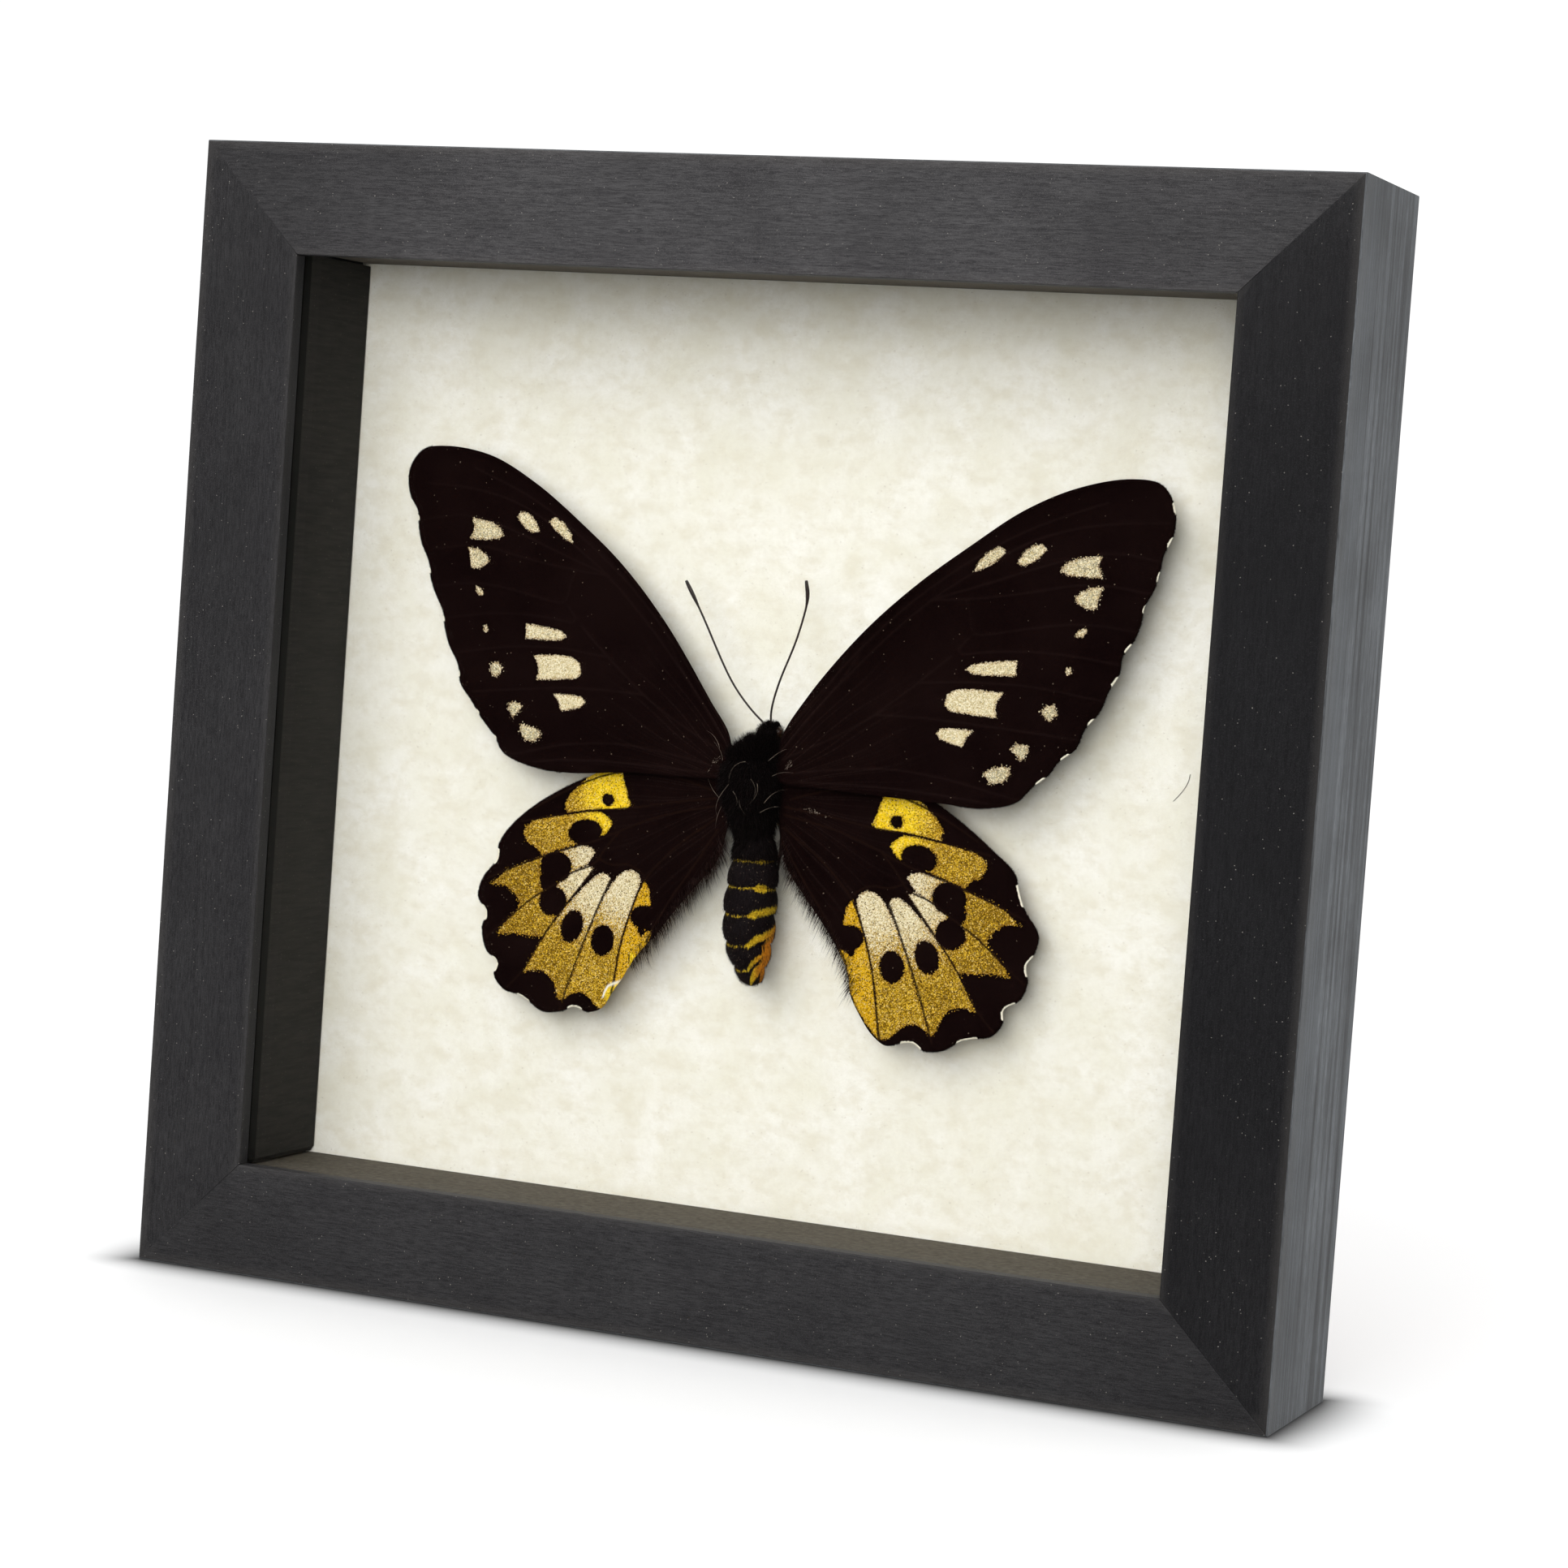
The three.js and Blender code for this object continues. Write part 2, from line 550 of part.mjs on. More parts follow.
// The clipped pin that carries the specimen
addPiece(
  "mounting_pin",
  barAlongY(
    PIN_RADIUS,
    PIN_X,
    PIN_Z,
    SPECIMEN_Y - PIN_IN_THORAX + WING_DROOP + GAP,
    atDepth(BOARD_FRONT + PIN_IN_BOARD),
    8,
  ),
  "steel",
);

// Wings: thin curved plates, each a fan of rings between a point near its base and its outline

// How far a wing's middle surface lies behind the specimen's plane: it droops towards the tip, and soft
// folds fan out from the root
function wingDepth(x, z, lift) {
  const [rootX, rootZ] = WING_ROOT;
  const reach = Math.hypot(x - rootX, z - rootZ);
  const angle = Math.atan2(z - rootZ, x - rootX);
  const droop = WING_DROOP * (x / WING_SPAN) ** 2;
  const fold = FOLD_HEIGHT * Math.sin(FOLD_WAVES * angle) * Math.min(1, reach / FOLD_REACH);
  return lift + droop + fold;
}

function wing(outline, side, lift, centre) {
  const corners = outline.map(([x, z]) => new THREE.Vector3(x, 0, z));
  const edge = new THREE.CatmullRomCurve3(corners, true, "centripetal");
  const rim = edge.getPoints(outline.length * RIM_STEPS).slice(0, -1);
  const ringAt = (share, face) =>
    rim.map((point) => {
      const x = centre[0] + share * (point.x - centre[0]);
      const z = centre[1] + share * (point.z - centre[1]);
      const depth = wingDepth(x, z, lift) + (face * WING_THICKNESS) / 2;
      return new THREE.Vector3(side * x, SPECIMEN_Y + depth, z);
    });
  const front = WING_RINGS.map((share) => ringAt(share, -1));
  const rear = WING_RINGS.map((share) => ringAt(share, 1)).reverse();
  return skin([...front, ...rear]);
}

const WINGS = [
  ["forewing_left", FOREWING_LEFT, -1, FOREWING_LIFT, FOREWING_CENTRE, "wing"],
  ["forewing_right", FOREWING_RIGHT, 1, FOREWING_LIFT, FOREWING_CENTRE, "wing"],
  ["hindwing_left", HINDWING_LEFT, -1, HINDWING_LIFT, HINDWING_CENTRE, "wing_gold"],
  ["hindwing_right", HINDWING_RIGHT, 1, HINDWING_LIFT, HINDWING_CENTRE, "wing_gold"],
];
WINGS.forEach(([name, outline, side, lift, centre, colour]) => {
  addPiece(name, cut(wing(outline, side, lift, centre), [thoraxRoom, abdomenRoom]), colour);
});

export default part;
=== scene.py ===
# %% [markdown]
# # A framed butterfly
# This lesson dresses a small shadow box. A black wooden frame holds a sheet of glass, and behind the glass
# a birdwing butterfly is pinned in front of cream paper. The box and the specimen are already there as
# plain solids at their real size. Here each of them gets its real surface: curved wings with raised veins
# and powdery scales, fur, grained wood and mottled paper.

# %% Load the plain model
import math

import bpy
import numpy as np
from mathutils import Matrix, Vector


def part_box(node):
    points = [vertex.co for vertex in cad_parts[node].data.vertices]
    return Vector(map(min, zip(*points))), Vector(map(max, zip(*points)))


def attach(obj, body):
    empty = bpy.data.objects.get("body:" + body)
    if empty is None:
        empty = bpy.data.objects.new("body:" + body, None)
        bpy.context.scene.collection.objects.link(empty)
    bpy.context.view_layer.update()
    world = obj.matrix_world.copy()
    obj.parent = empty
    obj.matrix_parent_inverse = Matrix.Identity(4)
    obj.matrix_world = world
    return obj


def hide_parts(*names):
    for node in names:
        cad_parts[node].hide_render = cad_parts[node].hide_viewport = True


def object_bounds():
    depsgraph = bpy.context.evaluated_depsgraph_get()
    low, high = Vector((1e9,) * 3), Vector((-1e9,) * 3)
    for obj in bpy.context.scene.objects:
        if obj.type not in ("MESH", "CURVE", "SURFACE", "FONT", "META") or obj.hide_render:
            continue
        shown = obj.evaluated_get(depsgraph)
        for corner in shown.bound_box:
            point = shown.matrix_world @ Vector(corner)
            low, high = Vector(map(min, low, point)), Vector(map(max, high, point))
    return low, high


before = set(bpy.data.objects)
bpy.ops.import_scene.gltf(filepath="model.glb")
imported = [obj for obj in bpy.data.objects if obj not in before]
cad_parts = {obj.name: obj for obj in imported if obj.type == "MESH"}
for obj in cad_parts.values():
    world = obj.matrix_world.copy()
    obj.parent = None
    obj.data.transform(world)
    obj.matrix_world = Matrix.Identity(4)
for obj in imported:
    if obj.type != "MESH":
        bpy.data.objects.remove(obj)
cad_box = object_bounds()
print("plain model:", [round((high - low) * 1000, 1) for low, high in zip(*cad_box)], "mm")

# %% [markdown]
# ## The camera
# The photograph was taken from the right of the box and a little above its middle, with the camera tilted
# by a few degrees. The place, the three turns and the focal length below were solved from the box's edges
# and corners in the photograph. Turning the camera about Z, X and its own axis keeps the angles readable.

# %% Camera
PHOTO_SIDE = 1932
FOCAL_PIXELS = 4815.8
SENSOR_MM = 36.0
CAMERA_PLACE = (0.2915, -0.6741, 0.1464)
CAMERA_YAW = math.radians(22.86)
CAMERA_PITCH = math.radians(-3.31)
CAMERA_ROLL = math.radians(4.09)
NEAREST_SEEN = 0.01

camera_data = bpy.data.cameras.new("camera")
camera_data.sensor_width = SENSOR_MM
camera_data.lens = FOCAL_PIXELS / PHOTO_SIDE * SENSOR_MM
camera_data.clip_start = NEAREST_SEEN
camera = bpy.data.objects.new("camera", camera_data)
turn = Matrix.Rotation(CAMERA_YAW, 4, "Z")
turn = turn @ Matrix.Rotation(math.radians(90) + CAMERA_PITCH, 4, "X")
turn = turn @ Matrix.Rotation(CAMERA_ROLL, 4, "Z")
camera.matrix_world = Matrix.Translation(CAMERA_PLACE) @ turn
bpy.context.collection.objects.link(camera)
bpy.context.scene.camera = camera
print("lens", round(camera_data.lens, 1), "mm")

# %% [markdown]
# ## Meshes from arrays
# Every new piece is a surface worked out with numpy, in millimetres. A row of rings, each with the same
# number of points, makes a closed skin: a wing, a hair, a rail and a leg are all such rows. The ends are
# closed by one point in the middle, or by one flat face where the end is cut off.

# %% Mesh helpers
MM = 0.001
CURVE_STEPS = 16
CORNER_CUTS = 4


def add_piece(name, points, faces, material, replaces=(), smooth=True, attributes=None):
    """A mesh object from points in millimetres and faces, riding on the one body. Attributes are arrays
    with one number, or one row of three, for each point."""
    mesh = bpy.data.meshes.new(name)
    mesh.from_pydata((np.asarray(points, float) * MM).tolist(), [], faces)
    for key, values in (attributes or {}).items():
        values = np.asarray(values, np.float32)
        kind, field = ("FLOAT", "value") if values.ndim == 1 else ("FLOAT_VECTOR", "vector")
        mesh.attributes.new(key, kind, "POINT").data.foreach_set(field, values.ravel())
    mesh.polygons.foreach_set("use_smooth", np.full(len(mesh.polygons), smooth))
    mesh.materials.append(material)
    mesh.update()
    piece = bpy.data.objects.new(name, mesh)
    bpy.context.collection.objects.link(piece)
    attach(piece, "root")
    if replaces:
        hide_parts(*replaces)
    triangles = sum(len(face.vertices) - 2 for face in mesh.polygons)
    print(f"{name}: {len(mesh.vertices)} points, {triangles} triangles")
    return piece


def strip_faces(rings, around, start=0):
    """Four-sided faces between neighbouring rings: point (i, j) joins (i, j+1), (i+1, j+1), (i+1, j), and
    the last point of a ring joins its first."""
    i, j = np.meshgrid(np.arange(rings - 1), np.arange(around), indexing="ij")
    following = (j + 1) % around
    here = i * around
    above = here + around
    quads = np.stack([here + j, here + following, above + following, above + j])
    return (quads.reshape(4, -1).T + start).tolist()


def skin(rings, poles=True):
    """A closed skin over rings shaped (ring, step, xyz). With poles, each end ring is drawn together to the
    mean of its points; without, it is closed by one flat face. The sum of the signed volumes under the
    faces tells which way they point, and they are turned to point outwards."""
    count, around, _ = rings.shape
    points = rings.reshape(-1, 3)
    faces = strip_faces(count, around)
    first = list(range(around))
    last = [(count - 1) * around + step for step in range(around)]
    if poles:
        ends = len(points)
        points = np.vstack([points, rings[0].mean(0), rings[-1].mean(0)])
        faces += [[ends, first[(j + 1) % around], first[j]] for j in range(around)]
        faces += [[ends + 1, last[j], last[(j + 1) % around]] for j in range(around)]
    else:
        faces += [first[::-1], last]
    a, b, c = (points[[face[k] for face in faces]] for k in (0, 1, 2))
    d = points[[face[3] if len(face) > 3 else face[2] for face in faces]]
    volume = np.einsum("ij,ij->", np.cross(a, b), c) + np.einsum("ij,ij->", np.cross(a, c), d)
    if volume < 0:
        faces = [face[::-1] for face in faces]
    return points, faces


def closed_curve(corners, steps):
    """A smooth closed curve through the corners, as (step, 2), at even distances along it. Between two
    corners it is a cubic whose end slopes come from the neighbours, weighed by the square root of their
    distances, so that close corners don't make loops."""
    p1 = np.asarray(corners, float)
    p0, p2, p3 = np.roll(p1, 1, 0), np.roll(p1, -1, 0), np.roll(p1, -2, 0)
    d0, d1, d2 = (np.sqrt(np.linalg.norm(b - a, axis=1))[:, None] for a, b in ((p0, p1), (p1, p2), (p2, p3)))
    slope1 = ((p1 - p0) / d0 - (p2 - p0) / (d0 + d1) + (p2 - p1) / d1) * d1
    slope2 = ((p2 - p1) / d1 - (p3 - p1) / (d1 + d2) + (p3 - p2) / d2) * d1
    t = np.linspace(0, 1, CURVE_STEPS, endpoint=False)[None, :, None]
    a, b, m, n = (v[:, None, :] for v in (p1, p2, slope1, slope2))
    fine = (
        (2 * t**3 - 3 * t**2 + 1) * a
        + (t**3 - 2 * t**2 + t) * m
        + (3 * t**2 - 2 * t**3) * b
        + (t**3 - t**2) * n
    ).reshape(-1, 2)
    return even_steps(np.vstack([fine, fine[:1]]), steps + 1)[:-1]


def even_steps(path, steps):
    """The same path with points at even distances along it."""
    path = np.asarray(path, float)
    lengths = np.linalg.norm(np.diff(path, axis=0), axis=1)
    along = np.concatenate([[0], np.cumsum(lengths)])
    wanted = np.linspace(0, along[-1], steps)
    return np.stack([np.interp(wanted, along, path[:, k]) for k in range(path.shape[1])], axis=1)


def smooth_path(corners, steps):
    """An open smooth path through the corners: the corners are cut four times, each cut taking a quarter
    of both neighbours, with the two ends kept."""
    path = np.asarray(corners, float)
    for _ in range(CORNER_CUTS):
        near = path[:-1] * 0.75 + path[1:] * 0.25
        far = path[:-1] * 0.25 + path[1:] * 0.75
        path = np.vstack([path[:1], np.stack([near, far], axis=1).reshape(-1, path.shape[1]), path[-1:]])
    return even_steps(path, steps)


def circle(across, other, angle):
    """For each point of a path, cosine of the angle times one direction plus sine times the other."""
    cosine, sine = np.cos(angle)[None, :, None], np.sin(angle)[None, :, None]
    return across[:, None] * cosine + other[:, None] * sine


def tube(path, radii, sides):
    """Rings of a tube along a path. A ring's points lie at the radius times the cosine along a first
    direction, square to the path, and times the sine along a second one, square to both."""
    ahead = np.gradient(path, axis=0)
    ahead /= np.linalg.norm(ahead, axis=1)[:, None]
    depth = np.array([0.0, 1.0, 0.0])
    across = np.cross(ahead, depth)
    across /= np.linalg.norm(across, axis=1)[:, None]
    other = np.cross(across, ahead)
    angle = np.linspace(0, 2 * np.pi, sides, endpoint=False)
    radii = np.broadcast_to(radii, len(path))[:, None, None]
    return path[:, None] + radii * circle(across, other, angle)


# %% [markdown]
# ## Finishes from nodes
# A finish is a material whose pattern is worked out from the surface itself, never from a picture. The
# small class below adds nodes and links them in the order in which they are used, so that a finish reads
# like a recipe. Places are in millimetres, so a noise of scale 2 has patches of about half a millimetre.

# %% Finish helper


class Finish:
    """A material with a Principled shader and helpers that add one kind of node each."""

    def __init__(self, name, roughness, **fixed):
        """Each further value goes to the shader socket of that name, with its spaces as underscores."""
        self.material = bpy.data.materials.new(name)
        self.material.use_nodes = True
        self.tree = self.material.node_tree
        self.shader = self.tree.nodes["Principled BSDF"]
        self.set("Roughness", roughness)
        for socket, value in fixed.items():
            self.set(socket.replace("_", " "), value)
        coordinates = self.tree.nodes.new("ShaderNodeTexCoord")
        self.place = self.vector("SCALE", coordinates.outputs["Object"], scale=1 / MM)

    def set(self, socket, value):
        """A number, a colour or a node's output for one socket of the shader."""
        self.join(self.shader.inputs[socket], value)

    def join(self, socket, value):
        """Links a node's output to the socket, or stores a plain value in it."""
        if isinstance(value, bpy.types.NodeSocket):
            self.tree.links.new(value, socket)
        else:
            socket.default_value = value

    def vector(self, operation, a, b=None, scale=None):
        """One sum on vectors, such as a place multiplied by a scale for each axis."""
        node = self.tree.nodes.new("ShaderNodeVectorMath")
        node.operation = operation
        self.join(node.inputs[0], a)
        if b is not None:
            self.join(node.inputs[1], b)
        if scale is not None:
            node.inputs["Scale"].default_value = scale
        return node.outputs[0]

    def part(self, vector, axis):
        """One share of a vector: X, Y or Z."""
        node = self.tree.nodes.new("ShaderNodeSeparateXYZ")
        self.join(node.inputs[0], vector)
        return node.outputs[axis]

    def maths(self, operation, a, b=0.0):
        """One sum on numbers."""
        node = self.tree.nodes.new("ShaderNodeMath")
        node.operation = operation
        self.join(node.inputs[0], a)
        self.join(node.inputs[1], b)
        return node.outputs[0]

    def between(self, value, low, high, start=0.0, end=1.0):
        """start where value is low or less, end where it is high or more, and even in between."""
        node = self.tree.nodes.new("ShaderNodeMapRange")
        node.clamp = True
        for socket, number in zip(node.inputs, (value, low, high, start, end)):
            self.join(socket, number)
        return node.outputs[0]

    def noise(self, scale, detail=2.0, roughness=0.5, place=None, lumpy=0.0):
        """Soft patches from 0 to 1, about one divided by the scale wide, in millimetres."""
        node = self.tree.nodes.new("ShaderNodeTexNoise")
        self.join(node.inputs["Vector"], place or self.place)
        node.inputs["Scale"].default_value = scale
        node.inputs["Detail"].default_value = detail
        node.inputs["Roughness"].default_value = roughness
        node.inputs["Distortion"].default_value = lumpy
        return node.outputs["Fac"]

    def stretched(self, detail, roughness, scales, place=None):
        """Noise whose patches are drawn out: the place is multiplied by one scale for each axis."""
        drawn_out = self.vector("MULTIPLY", place or self.place, scales)
        return self.noise(1.0, detail, roughness, place=drawn_out)

    def cells(self, scale):
        """The distance to the middle of the nearest random cell."""
        node = self.tree.nodes.new("ShaderNodeTexVoronoi")
        self.join(node.inputs["Vector"], self.place)
        node.inputs["Scale"].default_value = scale
        return node.outputs["Distance"]

    def scatter(self, per_mm):
        """Three random numbers from 0 to 1 that stay the same within each little cell of the surface, so
        that every cell can be one scale or grain of its own."""
        node = self.tree.nodes.new("ShaderNodeTexVoronoi")
        self.join(node.inputs["Vector"], self.place)
        node.inputs["Scale"].default_value = per_mm
        parts = self.tree.nodes.new("ShaderNodeSeparateColor")
        self.tree.links.new(node.outputs["Color"], parts.inputs[0])
        return list(parts.outputs)

    def attribute(self, name, output="Fac"):
        """A number, or with Vector a place, that the mesh carries at each point."""
        node = self.tree.nodes.new("ShaderNodeAttribute")
        node.attribute_name = name
        return node.outputs[output]

    def mix(self, factor, a, b):
        """The colour a where the factor is 0, b where it is 1, and a blend in between."""
        node = self.tree.nodes.new("ShaderNodeMix")
        node.data_type = "RGBA"
        self.join(node.inputs[0], factor)
        self.join(node.inputs[6], a)
        self.join(node.inputs[7], b)
        return node.outputs[2]

    def bump(self, height, distance, strength):
        """A relief as deep as the distance, in millimetres, for the shader's Normal."""
        node = self.tree.nodes.new("ShaderNodeBump")
        node.inputs["Distance"].default_value = distance * MM
        node.inputs["Strength"].default_value = strength
        self.join(node.inputs["Height"], height)
        return node.outputs["Normal"]


def paint(red, green, blue):
    """A colour as a screen shows it, from 0 to 255 each, as the linear values that a shader mixes."""
    values = [value / 255 for value in (red, green, blue)]
    linear = [v / 12.92 if v <= 0.04045 else ((v + 0.055) / 1.055) ** 2.4 for v in values]
    return (*linear, 1.0)


print("helpers ready")

# %% [markdown]
# ## The box's wood
# The rails are black stained wood with a satin face. Its grain runs along each rail, so the pattern can't
# follow the box's own axes on all four sides. Each rail carries an attribute instead: how far along it a
# point is, and how far round its section. Stretching the noise along the first of them gives the grain. A
# second attribute paints light and shade into the stain: each rail lighter or darker by how the light falls
# on it. The outer sides are painted a streaked pale grey, a painted reflection of bright surroundings.

# %% Black stained wood


def black_wood():
    """Base colour lighter or darker by each rail's painted light and shade, darkened along the grain, with
    paler flecks, single dust grains, a streaked pale grey painted reflection on the outer sides, and edges
    that are worn a little."""
    finish = Finish("black_wood", roughness=0.55)
    finish.set("Specular IOR Level", 0.14)
    grain_place = finish.attribute("grain", "Vector")
    lines = finish.stretched(5, 0.6, (0.05, 1.3, 1.3), grain_place)
    dashes = finish.stretched(4, 0.7, (0.4, 4.6, 4.6), grain_place)
    clouds = finish.noise(0.05, 3, 0.6)
    fine = finish.noise(6.5, 2, 0.6)
    # Painted light and shade: the stain, its dark grain and its flecks are mixed lighter or darker per rail
    # by how the light falls on it.
    painted_rail_light = finish.attribute("painted_rail_light")
    base = finish.mix(painted_rail_light, paint(15, 15, 17), paint(68, 67, 68))
    dark = finish.mix(painted_rail_light, paint(9, 9, 10), paint(33, 32, 34))
    base = finish.mix(finish.between(dashes, 0.38, 0.6, 0.75, 0), base, dark)
    base = finish.mix(finish.between(lines, 0.5, 0.75, 0, 0.5), base, dark)
    base = finish.mix(finish.between(clouds, 0.4, 0.7, 0, 0.35), base, dark)
    fleck = finish.mix(painted_rail_light, paint(35, 34, 37), paint(90, 88, 88))
    base = finish.mix(finish.between(fine, 0.52, 0.75, 0, 0.6), base, fleck)
    random = finish.scatter(7)
    dust = finish.between(random[0], 0.9986, 0.999, 0, 0.5)
    base = finish.mix(dust, base, paint(150, 146, 140))
    # Painted reflection: the outer sides are mixed to a pale grey, streaked along the grain, as if they
    # mirrored bright surroundings at a glancing angle.
    side = finish.attribute("side")
    streaks = finish.stretched(3, 0.6, (0.012, 0.55, 0.55), grain_place)
    long_streaks, soft_clouds = finish.between(streaks, 0.3, 0.65), finish.between(clouds, 0.35, 0.7, 0, 0.5)
    streaked_side_reflection = finish.between(finish.maths("ADD", long_streaks, soft_clouds), 0.2, 1.3, 0.15, 0.95)
    pale = finish.mix(finish.between(dashes, 0.35, 0.65), paint(60, 64, 68), paint(112, 116, 120))
    base = finish.mix(finish.maths("MULTIPLY", side, streaked_side_reflection), base, pale)
    worn = finish.between(finish.attribute("edge"), 0.5, 1)
    base = finish.mix(finish.maths("MULTIPLY", worn, 0.1), base, paint(104, 100, 96))
    finish.set("Base Color", base)
    finish.set("Roughness", finish.between(dashes, 0.3, 0.7, 0.46, 0.62))
    height = finish.maths("ADD", finish.maths("MULTIPLY", dashes, 0.7), finish.maths("MULTIPLY", fine, 0.35))
    finish.set("Normal", finish.bump(height, 0.05, 0.7))
    return finish.material


wood = black_wood()

# %% [markdown]
# ## The rails
# A picture-frame rail is one moulding, cut at 45 degrees at both ends. It could be a box with a Bevel
# modifier, but the mitre and the rounded edges come out exactly when its section is carried along a path:
# a point that lies further in from the outer face stops further short of the corner.

# %% Rails
outer_low, outer_high = (np.array(corner) / MM for corner in cad_box)
left_rail = np.array(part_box("frame_rail_left")) / MM
glass_box = np.array(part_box("glass_pane")) / MM
paper_box = np.array(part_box("backing_paper")) / MM
BOX_WIDTH, BOX_DEPTH, BOX_HEIGHT = outer_high - outer_low
FRONT_Y = outer_low[1]
REAR_Y = outer_high[1]
RAIL_WIDTH = left_rail[1, 0] - left_rail[0, 0]
GAP = 0.3
REBATE_WALL = glass_box[0, 0] - GAP - outer_low[0]
LIP_BACK = glass_box[0, 1] - GAP
OUTER_ROUND = 0.45
LIP_ROUND = 0.3
REAR_CHAMFER = 1.0
MITRE_LINE = 0.02
ARC_STEPS = 6
FACE_STEPS = 5
FACE_INSET = 4
MITRE_TUCK = 0.04
MITRE_START = 0.9985
FACE_WAVES = (0.04, 0.025)


def arc(centre, radius, start, end, steps=ARC_STEPS):
    """Points of a circle's arc, at the centre plus the radius times cosine and sine, angles in degrees."""
    angle = np.radians(np.linspace(start, end, steps))
    return np.stack([centre[0] + radius * np.cos(angle), centre[1] + radius * np.sin(angle)], axis=1)


def rail_section():
    """The moulding's section as (inward, depth) points: rounded front edges, the lip, the rebate and a
    chamfer at the outer rear edge."""
    front_edges = [
        arc((OUTER_ROUND, FRONT_Y + OUTER_ROUND), OUTER_ROUND, 180, 270),
        np.linspace((FACE_INSET, FRONT_Y), (RAIL_WIDTH - FACE_INSET, FRONT_Y), FACE_STEPS),
        arc((RAIL_WIDTH - LIP_ROUND, FRONT_Y + LIP_ROUND), LIP_ROUND, 270, 360),
    ]
    back = [
        (RAIL_WIDTH, LIP_BACK - 0.2),
        (RAIL_WIDTH - 0.2, LIP_BACK),
        (REBATE_WALL, LIP_BACK),
        (REBATE_WALL, REAR_Y - 0.3),
        (REBATE_WALL - 0.3, REAR_Y),
        (REAR_CHAMFER + 0.2, REAR_Y),
        (0.15, REAR_Y - REAR_CHAMFER),
        (0, REAR_Y - REAR_CHAMFER - 0.3),
        (0, FRONT_Y + 12),
    ]
    return np.vstack([*front_edges, back])


def rail(length, seed):
    """A mitred rail along X with its outer face at z = 0, and for each point its grain place, how near an
    edge it is and whether it is on the outer side. Place along the rail = share times (half the length less
    how far inward the point lies). Two sines a few hundredths of a millimetre high keep the front face from
    looking like a drawing."""
    section = rail_section()
    shares = np.concatenate([[-1, -MITRE_START], np.linspace(-0.98, 0.98, 41), [MITRE_START, 1]])
    half = length / 2 - MITRE_LINE / 2 - section[:, 0]
    x = shares[:, None] * half[None, :]
    tuck = np.where(np.abs(shares) > MITRE_START, MITRE_TUCK, 0)[:, None]
    middle = section.mean(0)
    inward = section[None, :, 0] + tuck * np.sign(middle[0] - section[None, :, 0])
    depth = section[None, :, 1] + tuck * np.sign(middle[1] - section[None, :, 1])
    long_wave, short_wave = FACE_WAVES
    wave = long_wave * np.sin(x * 0.071 + seed) + short_wave * np.sin(x * 0.19 + 2 * seed)
    on_front = section[None, :, 1] < FRONT_Y + 1
    depth = depth + np.where(on_front, np.abs(wave), 0)
    rings = np.stack([x, depth, inward], axis=2)
    run = np.concatenate([[0], np.cumsum(np.linalg.norm(np.diff(section, axis=0), axis=1))])
    grain = np.stack([x + 311 * seed, np.broadcast_to(run, x.shape), np.full_like(x, 17 * seed)], axis=2)
    to_corner = length / 2 - np.abs(x) - section[None, :, 0]
    rounded = np.zeros(len(section))
    rounded[:ARC_STEPS] = 1
    rounded[ARC_STEPS + FACE_STEPS : 2 * ARC_STEPS + FACE_STEPS] = 0.8
    edge = np.maximum(np.broadcast_to(rounded, x.shape), 0.55 * np.clip(1 - to_corner / 0.8, 0, 1))
    side = np.broadcast_to(np.where(section[:, 0] < 0.3, 1.0, 0.0), x.shape)
    return rings, grain.reshape(-1, 3), edge.ravel(), side.ravel()


def stood_on_side(points, side):
    """Turns points made for the bottom side to another side of the box: through a right angle for the
    left and right sides, and through two for the top."""
    x, y, z = points[..., 0], points[..., 1], points[..., 2]
    turned = {
        "bottom": (x, y, z),
        "top": (-x, y, BOX_HEIGHT - z),
        "left": (z - BOX_WIDTH / 2, y, BOX_HEIGHT / 2 - x),
        "right": (BOX_WIDTH / 2 - z, y, BOX_HEIGHT / 2 + x),
    }
    return np.stack(turned[side], axis=-1)


# How light the stain looks at a rail's start, over its middle half and at its end. The four rails of the
# real box have one stain. These tones imitate the daylight of the photograph, which catches the top rail
# and leaves the right one dark, and which soft studio light doesn't repeat.
PAINTED_RAIL_LIGHT = {
    "bottom": (0.45, 0.5, 0.32),
    "right": (0.14, 0.08, 0.2),
    "top": (0.6, 0.95, 0.5),
    "left": (0.42, 0.36, 0.4),
}
SIDE_LENGTHS = {"bottom": BOX_WIDTH, "right": BOX_HEIGHT, "top": BOX_WIDTH, "left": BOX_HEIGHT}
for number, (side, length) in enumerate(SIDE_LENGTHS.items(), start=1):
    rings, grain, edge, outer = rail(length, number)
    points, faces = skin(stood_on_side(rings, side), poles=False)
    # Painted light and shade along each rail, from the table above: lighter where the light falls, darker
    # where it doesn't.
    start, middle, end = PAINTED_RAIL_LIGHT[side]
    painted_rail_light = np.interp(rings[..., 0] / (length / 2), (-1, -0.5, 0.5, 1), (start, middle, middle, end))
    rail_name = "frame_rail_" + side
    add_piece(
        rail_name + "_moulding",
        points,
        faces,
        wood,
        replaces=[rail_name],
        smooth=False,
        attributes={"grain": grain, "edge": edge, "side": outer, "painted_rail_light": painted_rail_light.ravel()},
    )

# %% [markdown]
# ## Glass
# The pane is flat clear glass, so it keeps its plain shape and only needs the right material: full
# transmission, no roughness, and the refraction of window glass. It casts no shadow here, because a real
# pane lets nearly all light through, and a renderer would lose that light on its way in.

# %% Glass pane
GLASS_REFRACTION = 1.5


